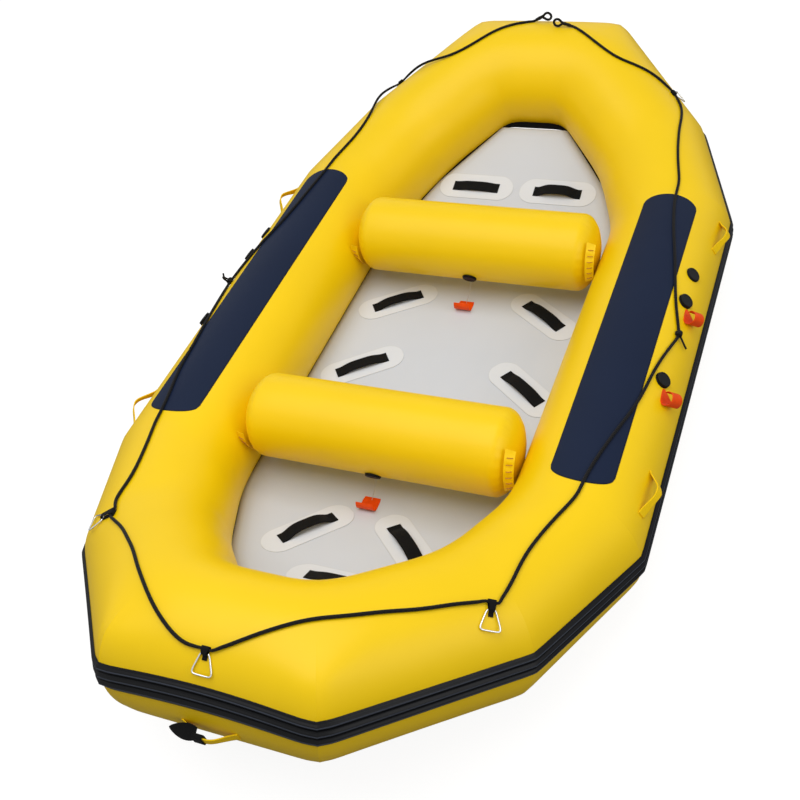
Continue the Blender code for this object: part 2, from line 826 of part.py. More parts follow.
def corner_strake_angle(place):
    """Angle round the tube of the strake's middle line at a corner of the hull's axis."""
    if abs(place.x) > (SIDE_AXIS_X + SHOULDER_CORNER_X) / 2:
        return STRAKE_SIDE_CORNER_ANGLE
    shoulder = abs(place.x) > (SHOULDER_CORNER_X + END_CORNER_X) / 2
    if place.y > 0:
        return STRAKE_STERN_SHOULDER_ANGLE if shoulder else STRAKE_STERN_CORNER_ANGLE
    return STRAKE_BOW_SHOULDER_ANGLE if shoulder else STRAKE_BOW_CORNER_ANGLE


STRAKE_MIDDLE_ANGLES = {
    PORT_SIDE: STRAKE_SIDE_ANGLE,
    STARBOARD_SIDE: STRAKE_SIDE_ANGLE,
    STERN_END: STRAKE_STERN_ANGLE,
    BOW_END: STRAKE_BOW_ANGLE,
}


def strake_angle(index, share):
    first = corner_strake_angle(corner(index)[0])
    second = corner_strake_angle(corner(index + 1)[0])
    if index in STRAKE_MIDDLE_ANGLES:
        return first + (STRAKE_MIDDLE_ANGLES[index] - first) * math.sin(math.pi * share)
    return first + share * (second - first)


STRAKE_MIDDLE_SHARES = (0.38, 0.62)
STRAKE_INNER_SHARES = (1.0, 1 / 3, -1 / 3, -1.0)
STRAKE_OUTER_SHARES = (
    (-1.0, "edge"), (-0.84, "rib"), (-0.42, "rib"), (-0.34, "valley"), (-0.26, "rib"),
    (0.26, "rib"), (0.34, "valley"), (0.42, "rib"), (0.84, "rib"), (1.0, "edge"),
)


def strake_stations(index):
    middle = [0.5] if SEGMENTS[index].startswith(("side", "end")) else STRAKE_MIDDLE_SHARES
    return sorted([*panel_shares(index)[:-1], *middle])


def rubbing_strake():
    heights = {"edge": STRAKE_EDGE_HEIGHT, "valley": STRAKE_VALLEY_HEIGHT, "rib": STRAKE_RIB_HEIGHT}
    seat = skin_seat(2 * STRAKE_HALF_ANGLE / 3 + STRAKE_TWIST)
    shape = bmesh.new()
    rows = []
    for index in range(len(SEGMENTS)):
        for share in strake_stations(index):
            middle = strake_angle(index, share)
            row = []
            for across, level in STRAKE_OUTER_SHARES:
                angle = middle + across * STRAKE_HALF_ANGLE
                row.append(shape.verts.new(tube_point(index, share, angle, heights[level])))
            for across in STRAKE_INNER_SHARES:
                angle = middle + across * STRAKE_HALF_ANGLE
                row.append(shape.verts.new(tube_point(index, share, angle, seat)))
            rows.append(row)
    for first, second in zip(rows, rows[1:] + rows[:1]):
        bridge(shape, first, second)
    return add_mesh("rubbing_strake", shape, BLACK_RUBBER)


WEAR_STEPS = 8


def wear_patch(name, index):
    """Thin curved sheet with rounded ends, lying on the top of a side tube."""
    seat = skin_seat(2 * WEAR_HALF_ANGLE / WEAR_STEPS)
    shape = bmesh.new()
    rows = []
    for step in range(WEAR_STEPS + 1):
        across = 2 * step / WEAR_STEPS - 1
        angle = WEAR_CENTRE_ANGLE + across * WEAR_HALF_ANGLE
        reach = WEAR_HALF_LENGTH - WEAR_CORNER_DROP * (1 - math.sqrt(1 - across ** 2))
        row = []
        for y, height in ((-reach, seat), (reach, seat), (reach, seat + WEAR_THICKNESS),
                          (-reach, seat + WEAR_THICKNESS)):
            row.append(shape.verts.new(tube_point(index, side_share(index, y), angle, height)))
        rows.append(row)
    for first, second in zip(rows, rows[1:]):
        bridge(shape, first, second)
    shape.faces.new(rows[0])
    shape.faces.new(rows[-1])
    return add_mesh(name, shape, NAVY)


# Grab line, keepers and rings

SEGMENT_KINDS = (
    "stern end", "stern quarter", "stern shoulder", "side", "bow shoulder", "bow quarter", "bow end",
)

KEEPER_INNER_HEIGHT = 2 * ROPE_RADIUS + 2 * LOOP_GAP
KEEPER_FLOOR = SEAT_GAP + KEEPER_THICKNESS
ROPE_IN_KEEPER_Z = KEEPER_FLOOR + LOOP_GAP + ROPE_RADIUS
WIRE_IN_KEEPER_Z = KEEPER_FLOOR + LOOP_GAP + RING_WIRE_RADIUS


def rope_in_keeper(length):
    """Distance up the slope from a keeper's middle to the rope, at its upper end."""
    return length / 2 - LOOP_GAP - ROPE_RADIUS


def wire_in_keeper(length):
    """Distance up the slope from a keeper's middle to the ring's short side, at its lower end."""
    return LOOP_GAP + RING_WIRE_RADIUS - length / 2


def side_keepers(starboard):
    """The keepers on one side, from the stern to the bow middle."""
    return STERN_KEEPER, BOW_STARBOARD_KEEPER if starboard else BOW_PORT_KEEPER, END_KEEPER


def segment_number(kind, starboard):
    """Number of a kind of segment on one side of the raft."""
    words = kind.split()[::-1]
    if "end" not in words:
        words.append("starboard" if starboard else "port")
    return SEGMENTS.index("_".join(words))


def route_place(kind, share, starboard):
    """Segment number and share on one side, with the share counted from stern to bow."""
    return segment_number(kind, starboard), share if starboard else 1 - share


def keeper_spread(keeper):
    """Half of a keeper's reach up and down the slope."""
    _, _, _, length, lean = keeper
    turn = math.radians(abs(lean))
    return (length / 2 + KEEPER_THICKNESS) * math.cos(turn) + KEEPER_WIDTH / 2 * math.sin(turn)


def keeper_frame(keeper, starboard):
    """Frame of a keeper on the tube, its minus Y axis along the ring."""
    kind, share, angle, _, lean = keeper
    index, place = route_place(kind, share, starboard)
    turn = math.radians(lean if starboard else -lean)
    return tube_frame(index, place, angle, keeper_spread(keeper)) @ Matrix.Rotation(turn, 4, "Z")


def route_position(kind, share):
    """Distance from the stern middle along one side, for ordering and blending."""
    total = 0.0
    for name in SEGMENT_KINDS:
        length = segment_length(segment_number(name, False))
        if name == kind:
            return total + share * length
        total += length
    raise ValueError(kind)


def smooth_angle(route, position):
    """Angle round the tube from a monotone-free cubic through the route's points."""
    for place in range(len(route) - 1):
        start, end = route[place], route[place + 1]
        if start[0] <= position <= end[0]:
            before = route[max(place - 1, 0)]
            after = route[min(place + 2, len(route) - 1)]
            span = end[0] - start[0]
            leave = (end[1] - before[1]) / (end[0] - before[0]) * span
            arrive = (after[1] - start[1]) / (after[0] - start[0]) * span
            t = (position - start[0]) / span
            return ((2 * t ** 3 - 3 * t ** 2 + 1) * start[1] + (t ** 3 - 2 * t ** 2 + t) * leave
                    + (3 * t ** 2 - 2 * t ** 3) * end[1] + (t ** 3 - t ** 2) * arrive)
    raise ValueError("off the route")


def rope_side_points(starboard):
    """Points from the stern middle to the last free one before the bow middle's keeper."""
    keepers = side_keepers(starboard)
    table = GRAB_STARBOARD_SHARES if starboard else GRAB_PORT_SHARES
    route = [(route_position(kind, share), angle) for kind, share, angle in table]
    held = [(route_position(kind, share), angle) for kind, share, angle, _, _ in keepers]
    blend = sorted(route + held)
    knot = route_position("side", KNOT_PLACE_SHARE)
    guide = KEEPER_WIDTH / 2 + 2 * ROPE_RADIUS
    total = held[-1][0]
    start = blend[0][0]
    spacing = ROPE_POINT_SPACING
    places = [start + step * spacing for step in range(int((total - start) / spacing) + 1)]
    places = [p for p in places if all(abs(p - at) > spacing / 2 for at, _ in held)]
    places = [p for p in places if abs(p - knot) > spacing / 3] + [knot]
    points = []
    for position in sorted(places):
        index, share = route_at(position, starboard)
        scale = KNOT_SCALE if position == knot else 1.0
        height = ROPE_RADIUS * scale + ROPE_STAND_OFF
        angle = smooth_angle(blend, position)
        frame = tube_frame(index, share, angle, 0.0)
        points.append((position, frame @ Vector((0.0, 0.0, height)), scale, frame.to_3x3().col[2], True))
    for keeper, (position, _) in zip(keepers, held):
        frame = keeper_frame(keeper, starboard)
        toward_bow = 1 if starboard else -1
        for sign in (-1, 1):
            if keeper is END_KEEPER and sign > 0:
                continue
            local = Vector((sign * toward_bow * guide, rope_in_keeper(keeper[3]), ROPE_IN_KEEPER_Z))
            points.append((position + sign * guide, frame @ local, 1.0, frame.to_3x3().col[2], False))
    return lift_rope([entry[1:] for entry in sorted(points, key=lambda item: item[0])], axis_line())


def route_at(position, starboard):
    for kind in SEGMENT_KINDS:
        length = segment_length(segment_number(kind, False))
        if position <= length:
            return route_place(kind, position / length, starboard)
        position -= length
    raise ValueError("off the route")


AXIS_STEPS = 16
CHORD_STEPS = 5
LIFT_ROUNDS = 12


def axis_line():
    """Closely spaced points on the hull's axis, once round."""
    points = []
    for index in range(len(SEGMENTS)):
        for step in range(AXIS_STEPS):
            points.append(axis_station(index, step / AXIS_STEPS)[0])
    return np.array(points)


def axis_distance(points, axis):
    """Shortest distance of each point from the hull's axis."""
    run = np.roll(axis, -1, axis=0) - axis
    reach = points[:, None, :] - axis[None, :, :]
    share = np.clip((reach * run).sum(axis=2) / (run * run).sum(axis=1), 0.0, 1.0)
    return np.linalg.norm(reach - share[:, :, None] * run, axis=2).min(axis=1)


def lift_rope(route, axis):
    """Raise free points until every straight run between points lies clear of the hull."""
    points = [point.copy() for point, _, _, _ in route]
    for _ in range(LIFT_ROUNDS):
        lifts = [0.0] * len(points)
        for place in range(len(points) - 1):
            shares = np.linspace(0.0, 1.0, CHORD_STEPS)[:, None]
            run = np.array(points[place]) * (1 - shares) + np.array(points[place + 1]) * shares
            scales = route[place][1] * (1 - shares[:, 0]) + route[place + 1][1] * shares[:, 0]
            clear = axis_distance(run, axis) - TUBE_RADIUS - ROPE_RADIUS * scales
            short = max(0.0, float(ROPE_STAND_OFF - clear.min()))
            for end in (place, place + 1):
                lifts[end] = max(lifts[end], short)
        for place, (_, _, normal, free) in enumerate(route):
            if free:
                points[place] += lifts[place] * normal
    return [(point, entry[1]) for point, entry in zip(points, route)]


EYE_STEPS = 7


def rope_eye(starboard, first):
    """Loop at the rope's end, standing on the stern tube beside the middle."""
    side = -1 if starboard else 1
    top = tube_point(STERN_END, 0.5, 90.0, 0.0)
    height = top.z + EYE_RADIUS + ROPE_RADIUS + ROPE_STAND_OFF / 2
    centre = Vector((EYE_MIDDLE_X + side * EYE_HALF_SPACING, first.y, height))
    points = []
    for step in range(EYE_STEPS):
        turn = math.radians(20.0 + 275.0 * step / (EYE_STEPS - 1))
        points.append(centre + EYE_RADIUS * Vector((side * math.cos(turn), 0.0, math.sin(turn))))
    return points[::-1]


def grab_line():
    port = rope_side_points(False)
    starboard = rope_side_points(True)
    route = [(point, 1.0) for point in rope_eye(False, port[0][0])] + port
    back = [(point, 1.0) for point in rope_eye(True, starboard[0][0])] + starboard
    route += back[::-1]
    data = bpy.data.curves.new("grab_line", "CURVE")
    data.dimensions = "3D"
    data.bevel_depth = ROPE_RADIUS
    data.bevel_resolution = 2
    data.use_fill_caps = True
    spline = data.splines.new("POLY")
    spline.points.add(len(route) - 1)
    for slot, (point, scale) in zip(spline.points, route):
        slot.co = (*point, 1.0)
        slot.radius = scale
    return add_object("grab_line", data, BLACK_ROPE)


def keeper(name, place, length):
    """Closed webbing loop on the tube, round the rope and the ring's short side."""
    half = (length + KEEPER_THICKNESS) / 2
    low = SEAT_GAP + KEEPER_THICKNESS / 2
    high = low + KEEPER_INNER_HEIGHT + KEEPER_THICKNESS
    soft = ROPE_RADIUS / 2
    path = [
        (-half, low), (half, low), (half, high - soft), (half - soft, high),
        (-half + soft, high), (-half, high - soft),
    ]
    widths = [(-KEEPER_WIDTH / 2, KEEPER_WIDTH / 2)] * len(path)
    shape = band(path, KEEPER_THICKNESS, widths, closed=True)
    turn = frame_matrix(Vector((0, 0, 0)), Vector((0, 1, 0)), Vector((-1, 0, 0)), Vector((0, 0, 1)))
    bmesh.ops.transform(shape, matrix=turn, verts=shape.verts)
    return add_mesh(name, shape, BLACK_WEBBING, place)


RING_BASE_STEPS = 4


def ring_half_width():
    """Half-width of a ring's short side, beside its keeper."""
    return KEEPER_WIDTH / 2 + LOOP_GAP + RING_WIRE_RADIUS + RING_CORNER_RADIUS / 2


def ring_tilt(keeper):
    """Angle below the tangent plane at which the ring's free half just clears the round tube."""
    _, _, angle, length, lean = keeper
    turn = math.radians(lean)
    seat = seat_reach(angle, keeper_spread(keeper))
    half = ring_half_width()
    outline = []
    for step in range(-RING_BASE_STEPS, RING_BASE_STEPS + 1):
        share = step / RING_BASE_STEPS
        outline.append((RING_BASE_HALF_WIDTH * share, RING_LENGTH))
        if abs(share) >= 1 / 2:
            side = math.copysign(half + (RING_BASE_HALF_WIDTH - half) * abs(share), share)
            outline.append((side, RING_LENGTH * abs(share)))
    low, high = 0.0, math.pi / 4
    for _ in range(SEARCH_ROUNDS):
        tilt = (low + high) / 2
        nearest = math.inf
        for x, reach in outline:
            down = reach * math.cos(tilt) - wire_in_keeper(length)
            slope = down * math.cos(turn) + x * math.sin(turn)
            height = seat + WIRE_IN_KEEPER_Z - reach * math.sin(tilt)
            nearest = min(nearest, math.hypot(height, slope))
        if nearest > TUBE_RADIUS + RING_WIRE_RADIUS + RING_SURFACE_GAP:
            low = tilt
        else:
            high = tilt
    return low


def rounded_loop(corners, radius, steps):
    points = []
    count = len(corners)
    for place in range(count):
        here = corners[place]
        before = (corners[place - 1] - here).normalized()
        after = (corners[(place + 1) % count] - here).normalized()
        for step in range(steps + 1):
            t = step / steps
            start = here + radius * before
            end = here + radius * after
            points.append((1 - t) ** 2 * start + 2 * t * (1 - t) * here + t ** 2 * end)
    return points


def ring(name, place, keeper):
    """Bent wire ring, wider at its free side, turning about its short side."""
    half = ring_half_width()
    corners = [
        Vector((half, 0.0, 0.0)), Vector((-half, 0.0, 0.0)),
        Vector((-RING_BASE_HALF_WIDTH, -RING_LENGTH, 0.0)), Vector((RING_BASE_HALF_WIDTH, -RING_LENGTH, 0.0)),
    ]
    data = bpy.data.curves.new(name, "CURVE")
    data.dimensions = "3D"
    data.bevel_depth = RING_WIRE_RADIUS
    data.bevel_resolution = 1
    points = rounded_loop(corners, RING_CORNER_RADIUS, 2)
    spline = data.splines.new("POLY")
    spline.points.add(len(points) - 1)
    for slot, point in zip(spline.points, points):
        slot.co = (*point, 1.0)
    spline.use_cyclic_u = True
    hinge = Matrix.Translation(Vector((0.0, wire_in_keeper(keeper[3]), WIRE_IN_KEEPER_Z)))
    tilt = Matrix.Rotation(ring_tilt(keeper), 4, "X")
    return add_object(name, data, STEEL, place @ hinge @ tilt)


# Vinyl tags

def side_tag(name, place):
    """Tag that hangs down the slope below a valve and curls outward into a loop."""
    rest = SEAT_GAP + TAG_THICKNESS / 2
    path = [(0.0, rest), (TAG_RUN / 2, rest), (TAG_RUN, rest)]
    widths = [TAG_TAIL_WIDTH, (TAG_TAIL_WIDTH + TAG_WIDTH) / 2, TAG_WIDTH]
    for step in range(1, 10):
        turn = math.radians(-90.0 + 31.0 * step)
        path.append((TAG_RUN + TAG_CURL_RADIUS * math.cos(turn), rest + TAG_CURL_RADIUS * (1 + math.sin(turn))))
        widths.append(TAG_WIDTH)
    pairs = [(-width / 2, width / 2) for width in widths]
    shape = band(path, TAG_THICKNESS, pairs)
    turn = frame_matrix(Vector((0, 0, 0)), Vector((0, -1, 0)), Vector((1, 0, 0)), Vector((0, 0, 1)))
    bmesh.ops.transform(shape, matrix=turn, verts=shape.verts)
    return add_mesh(name, shape, ORANGE, place)


def side_tag_frame(index, y):
    """Frame at a valve's rim, its minus Y axis down the slope and toward the bow."""
    turn = math.radians(TAG_HEADING)
    reach = VALVE_FLANGE_RADIUS + LOOP_GAP
    angle = VALVE_ANGLE - math.degrees(reach * math.cos(turn) / TUBE_RADIUS)
    spread = TAG_RUN * math.cos(turn) + TAG_WIDTH / 2 * math.sin(turn)
    seat = tube_frame(index, side_share(index, y - reach * math.sin(turn)), angle, spread)
    return seat @ Matrix.Rotation(-turn, 4, "Z")


def thwart_tag(name, thwart_y):
    """Tag tied to a thwart's valve by a thin cord, lying half curled on the floor beside it."""
    valve = thwart_valve_frame(thwart_y)
    low_rim = valve @ Vector((0.0, -VALVE_FLANGE_RADIUS - LOOP_GAP, VALVE_FLANGE_HEIGHT))
    rim_y = low_rim.y
    lay = rim_y - TAG_TAIL_WIDTH
    curl = lay - FLOOR_TAG_RUN
    curve = [(lay - TAG_TAIL_WIDTH / 4, 0.0)]
    for step in range(0, 5):
        turn = math.radians(-90.0 - 28.0 * step)
        curve.append((curl + FLOOR_TAG_CURL_RADIUS * math.cos(turn), FLOOR_TAG_CURL_RADIUS * (1 + math.sin(turn))))
    deck = max(floor_height(y) - rise for y, rise in curve) + SEAT_GAP + TAG_THICKNESS / 2
    path = [
        (rim_y, low_rim.z),
        (rim_y - TAG_TAIL_WIDTH / 2, (low_rim.z + deck) / 2),
        (lay, deck + TAG_TAIL_WIDTH / 2),
    ]
    path += [(y, deck + rise) for y, rise in curve]
    middles = [(-FLOOR_TAG_SHIFT * share, FLOOR_TAG_CORD_WIDTH) for share in (0.0, 1 / 2, 1.0)]
    middles += [(-FLOOR_TAG_SHIFT, FLOOR_TAG_WIDTH)] * (len(path) - len(middles))
    pairs = [(middle - width / 2, middle + width / 2) for middle, width in middles]
    shape = band(path, TAG_THICKNESS, pairs)
    turn = frame_matrix(Vector((0, 0, 0)), Vector((0, 1, 0)), Vector((1, 0, 0)), Vector((0, 0, 1)))
    bmesh.ops.transform(shape, matrix=turn, verts=shape.verts)
    return add_mesh(name, shape, ORANGE)


# Assembly

def build_hull():
    panels = [hull_panel(index) for index in range(len(SEGMENTS))]
    rubbing_strake()
    for side, index in (("port", PORT_SIDE), ("starboard", STARBOARD_SIDE)):
        wear_patch("wear_patch_" + side, index)
        for kind, y in (("relief", RELIEF_VALVE_Y), ("stern", STERN_VALVE_Y), ("bow", BOW_VALVE_Y)):
            place = tube_frame(index, side_share(index, y), VALVE_ANGLE, VALVE_FLANGE_RADIUS)
            valve_seat(panels[index], f"valve_{kind}_{side}", place)
            if kind == "relief":
                capped_valve("relief_valve_" + side, BLACK_PLASTIC, place)
            else:
                valve_body(f"valve_body_{kind}_{side}", BLACK_PLASTIC, place)
                valve_cap(f"valve_cap_{kind}_{side}", place)
    for kind, y in (("stern", STERN_VALVE_Y), ("bow", BOW_VALVE_Y)):
        side_tag(f"valve_tag_{kind}_port", side_tag_frame(PORT_SIDE, y))


def build_inside():
    floor = floor_panel()
    cut(floor, cutter("floor_port_cutter", FLOOR_PORT_RADIUS, CUT_OVERRUN, floor_frame(0.0, STERN_THWART_Y)))
    for end, y in (("bow", BOW_THWART_Y), ("stern", STERN_THWART_Y)):
        seat = thwart("thwart_" + end, y)
        place = thwart_valve_frame(y)
        valve_seat(seat, "thwart_valve_" + end, place)
        capped_valve("thwart_valve_" + end, BLACK_PLASTIC, place)
        thwart_tag("thwart_tag_" + end, y)
    for name, across, along, heading, low in FOOT_STRAP_SHARES:
        height = FLAT_STRAP_HEIGHT if low else STRAP_HEIGHT
        arch_strap(name, STRAP_HALF_LENGTH, height, STRAP_WIDTH, STRAP_THICKNESS, BLACK_WEBBING,
                   foot_strap_frame(across, along, heading))


def build_fittings():
    grab_line()
    stations = [("bow", END_KEEPER, False)]
    for side, starboard in (("port", False), ("starboard", True)):
        stations.append(("bow_" + side, side_keepers(starboard)[1], starboard))
        stations.append(("stern_" + side, STERN_KEEPER, starboard))
    for name, held, starboard in stations:
        place = keeper_frame(held, starboard)
        keeper("ring_keeper_" + name, place, held[3])
        ring("ring_" + name, place, held)
    for side, index in (("port", PORT_SIDE), ("starboard", STARBOARD_SIDE)):
        for end, y in (("bow", -SIDE_HANDLE_Y), ("stern", SIDE_HANDLE_Y)):
            place = tube_frame(index, side_share(index, y), SIDE_HANDLE_ANGLE, HANDLE_WIDTH / 2)
            arch_strap(f"handle_{end}_{side}", HANDLE_HALF_SPAN, HANDLE_HEIGHT,
                       HANDLE_WIDTH, HANDLE_THICKNESS, YELLOW, place)
    place = tube_frame(BOW_END, 0.5, BOW_HANDLE_ANGLE, HANDLE_WIDTH / 2)
    arch_strap("handle_bow", HANDLE_HALF_SPAN, HANDLE_HEIGHT, HANDLE_WIDTH, HANDLE_THICKNESS, YELLOW, place)
    handle_wrap(place)


def build():
    clear_scene()
    build_hull()
    build_inside()
    build_fittings()


build()
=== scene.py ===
"""Inflatable whitewater raft: fabric, rubber, webbing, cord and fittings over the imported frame.

Metres. +Z is up, +Y runs from the bow to the stern, +X is the port side.
"""

import math
from functools import lru_cache

import bpy
from mathutils import Matrix, Vector


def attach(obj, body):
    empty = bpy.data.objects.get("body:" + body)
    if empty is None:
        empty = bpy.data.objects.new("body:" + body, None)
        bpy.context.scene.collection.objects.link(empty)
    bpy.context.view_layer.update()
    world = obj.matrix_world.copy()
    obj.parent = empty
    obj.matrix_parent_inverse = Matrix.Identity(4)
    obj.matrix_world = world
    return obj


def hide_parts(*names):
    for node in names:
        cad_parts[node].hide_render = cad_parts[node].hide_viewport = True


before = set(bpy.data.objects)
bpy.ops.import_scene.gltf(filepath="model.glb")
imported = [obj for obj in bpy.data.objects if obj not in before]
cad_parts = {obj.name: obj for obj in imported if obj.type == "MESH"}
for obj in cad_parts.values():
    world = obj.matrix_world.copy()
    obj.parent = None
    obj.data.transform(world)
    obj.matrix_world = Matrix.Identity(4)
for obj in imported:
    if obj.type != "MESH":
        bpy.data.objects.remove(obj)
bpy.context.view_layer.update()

bl_info = {
    "name": "Whitewater raft",
    "version": (1, 0, 0),
    "blender": (4, 5, 0),
    "location": "View3D > Sidebar > Raft",
    "description": "Builds the raft's visible pieces and its stage",
    "category": "Object",
}

# Hull tube: axis corners in one quarter of the plan as (x, y, rise, bend trim)
TUBE_RADIUS = 0.225
CORNER_TABLE = (
    (0.711, 0.787, 0.000, 0.050),
    (0.550, 1.191, 0.083, 0.050),
    (0.226, 1.539, 0.241, 0.125),
)
# Flat sides of the frame's tube, and how far from a corner the soft inner half starts to bend
TUBE_SIDES = 24
WIDE_TRIM = 0.170
# Air left under seated pieces, and between a loop and what it holds
SEAT_GAP = 0.0003
LOOP_GAP = 0.0005
FABRIC_THICKNESS = 0.0012
PATCH_THICKNESS = 0.0014
PANELS = (
    "shoulder_stern_port", "quarter_stern_port", "end_stern", "quarter_stern_starboard",
    "shoulder_stern_starboard", "side_starboard", "shoulder_bow_starboard", "quarter_bow_starboard",
    "end_bow", "quarter_bow_port", "shoulder_bow_port", "side_port",
)
PORT_SIDE = PANELS.index("side_port")
STARBOARD_SIDE = PANELS.index("side_starboard")
STERN_END = PANELS.index("end_stern")
BOW_END = PANELS.index("end_bow")
# Folds inside the hull's bends: how far they reach along a panel, and how many there are round the tube
FOLD_REACH = 0.05
FOLDS_ROUND = 11

# Thwarts
THWART_RADIUS = 0.149
THWART_HEIGHT = 0.320
THWART_STRAIGHT = 0.4195
THWART_DOME = 0.075
# Puckers on the domed ends: how many round the tube, how far past its straight part, and their reach
PUCKERS_ROUND = 26
PUCKER_PAST = 0.03
PUCKER_REACH = 0.02
# Flaps at the domed ends: start and end past the straight part, the angle that they cover, and the lowest angle
# on each side. The starboard ones sit lower.
FLAP_START = 0.050
FLAP_END = 0.082
FLAP_SPREAD = 70.0
FLAP_LOWEST = {1: -14.0, -1: -58.0}
THWART_PLACES = (("bow", -0.561), ("stern", 0.492))

# Floor: edge centres on the port side from bow to stern as (x, y, z), and the edge radius
FLOOR_EDGE = (
    (0.1276, -1.3101, 0.2651), (0.3502, -1.0649, 0.1406), (0.4891, -0.7370, 0.0560),
    (0.4891, 0.7370, 0.0560), (0.3502, 1.0649, 0.1406), (0.1276, 1.3101, 0.2651),
)
FLOOR_RADIUS = 0.056
# Angle on the floor's round edge at which the black strip starts: laced strip and painted shade of the gap
GAP_STRIP_ON_FLOOR = 56

# Foot straps: half length, and how far the patch and the strap lie over the deck. For each one: the shares of
# the floor's half-width and half-length, the direction and the arch height
STRAP_HALF = 0.105
STRAP_PATCH_LIFT = 0.0012
STRAP_LIFT = 0.0018
FOOT_STRAPS = (
    ("stern_starboard", -0.537, 0.790, 0.0, 0.010),
    ("stern_port", 0.482, 0.790, 0.0, 0.026),
    ("mid_stern_port", 0.617, 0.253, -35.0, 0.015),
    ("mid_stern_starboard", -0.642, 0.243, 35.0, 0.015),
    ("mid_bow_port", 0.681, -0.057, -37.0, 0.014),
    ("mid_bow_starboard", -0.654, -0.053, 37.0, 0.014),
    ("bow_middle", 0.110, -0.845, 0.0, 0.009),
    ("bow_port", 0.394, -0.666, -46.0, 0.016),
    ("bow_starboard", -0.424, -0.679, 54.0, 0.022),
)

# Grab line: segment kind, share of its way from stern to bow, angle round the tube. Both sides dip alike at
# their knot.
GRAB_DIP = (
    ("side", 0.37, 57.5), ("side", 0.42, 52.0), ("side", 0.482, 43.5), ("side", 0.56, 50.5),
    ("side", 0.62, 55.5),
)
GRAB_PORT = (
    ("stern end", 0.80, 89.0), ("stern quarter", 0.035, 99.0), ("stern quarter", 0.32, 87.0),
    ("stern quarter", 0.53, 62.0), ("stern shoulder", 0.06, 62.0), ("stern shoulder", 0.21, 68.0),
    ("stern shoulder", 0.60, 78.0), ("side", 0.03, 83.5), ("side", 0.15, 77.0), ("side", 0.285, 65.0),
    *GRAB_DIP, ("side", 0.71, 60.0), ("side", 0.777, 66.0), ("side", 0.87, 75.5), ("side", 0.97, 82.5),
    ("bow shoulder", 0.37, 81.0), ("bow shoulder", 0.715, 75.5), ("bow quarter", 0.30, 71.0),
    ("bow quarter", 0.47, 73.0), ("bow quarter", 0.63, 77.0), ("bow quarter", 0.99, 89.0),
    ("bow end", 0.10, 87.0), ("bow end", 0.26, 74.5), ("bow end", 0.40, 63.0),
)
GRAB_STARBOARD = (
    ("stern end", 0.60, 76.0), ("stern end", 0.72, 84.0), ("stern quarter", 0.075, 101.0),
    ("stern quarter", 0.385, 86.0), ("stern quarter", 0.58, 66.0), ("stern shoulder", 0.325, 76.0),
    ("stern shoulder", 0.545, 82.0), ("side", 0.0, 83.0), ("side", 0.12, 79.0), ("side", 0.283, 70.0),
    *GRAB_DIP, ("side", 0.745, 65.0), ("side", 0.832, 69.5), ("side", 0.916, 78.5),
    ("bow shoulder", 0.035, 84.0), ("bow shoulder", 0.49, 83.0), ("bow shoulder", 0.79, 79.0),
    ("bow quarter", 0.37, 78.5),
    ("bow quarter", 0.585, 82.0), ("bow quarter", 0.825, 86.0), ("bow quarter", 0.985, 85.0),
    ("bow end", 0.125, 77.0), ("bow end", 0.21, 69.0), ("bow end", 0.32, 60.5), ("bow end", 0.40, 56.5),
)
PANEL_KINDS = ("stern end", "stern quarter", "stern shoulder", "side", "bow shoulder", "bow quarter", "bow end")
# Keepers: segment kind, share, angle round the tube, length inside, lean of the ring toward the bow
STERN_KEEPER = ("stern quarter", 0.75, 51.0, 0.020, 0.0)
BOW_PORT_KEEPER = ("bow quarter", 0.13, 63.0, 0.030, 25.0)
BOW_STARBOARD_KEEPER = ("bow quarter", 0.12, 69.0, 0.055, -32.0)
END_KEEPER = ("bow end", 0.50, 59.0, 0.020, 0.0)
ROPE_RADIUS = 0.005
# Distance between the line's guide points, room kept free beside a keeper, and air under the line as it is laid
# and after it is pulled straight
ROPE_STEP = 0.02
KEEPER_MARGIN = 0.012
ROPE_CLEAR = 0.0012
ROPE_REST = 0.0010
# End eyes: radius, middle of the pair across the raft, and each one's distance from that middle
EYE_RADIUS = 0.016
EYE_MIDDLE = 0.047
EYE_APART = 0.029
# Knots: place, angle, and tails as (coil point that each leaves from, its points in the knot's frame)
KNOT_PLACE, KNOT_ANGLE = GRAB_DIP[2][:2], GRAB_DIP[2][2]
KNOT_TAILS = {
    "port": ((-1, ((-0.012, -0.014, 0.003), (-0.026, -0.030, 0.003), (-0.036, -0.046, 0.002))),),
    "starboard": ((-1, ((0.012, 0.002, 0.014), (0.020, 0.012, 0.026), (0.024, 0.022, 0.034))),
                  (0, ((0.002, 0.004, 0.014), (0.010, 0.010, 0.030), (0.004, 0.018, 0.042)))),
}
# Keepers: width and thickness in the frame, then the webbing's thickness, its narrow end and its flare
KEEPER_WIDTH = 0.018
KEEPER_THICKNESS = 0.002
KEEPER_WEBBING = 0.0018
KEEPER_NARROW = 0.015
KEEPER_FLARE = 0.009
WIRE_RADIUS = 0.0025
WIRE_Z = SEAT_GAP + KEEPER_THICKNESS + LOOP_GAP + WIRE_RADIUS
ROPE_Z = SEAT_GAP + KEEPER_THICKNESS + LOOP_GAP + ROPE_RADIUS

# Lashing rings: size, half width where they pass the keeper, room over the hull, and the bent wire's outline as
# (across, along)
RING_LENGTH = 0.056
RING_HALF = 0.030
RING_NECK = 0.016
RING_GAP = 0.0020
RING_SHAPE = ((0.008, 0.0), (0.0, 0.0), (-0.008, 0.0), (-0.0135, -0.004), (-0.0225, -0.028), (-0.0285, -0.047),
              (-0.0270, -0.0535), (-0.0205, -0.056), (0.0, -0.0565), (0.0205, -0.056), (0.0270, -0.0535),
              (0.0285, -0.047), (0.0225, -0.028), (0.0135, -0.004))

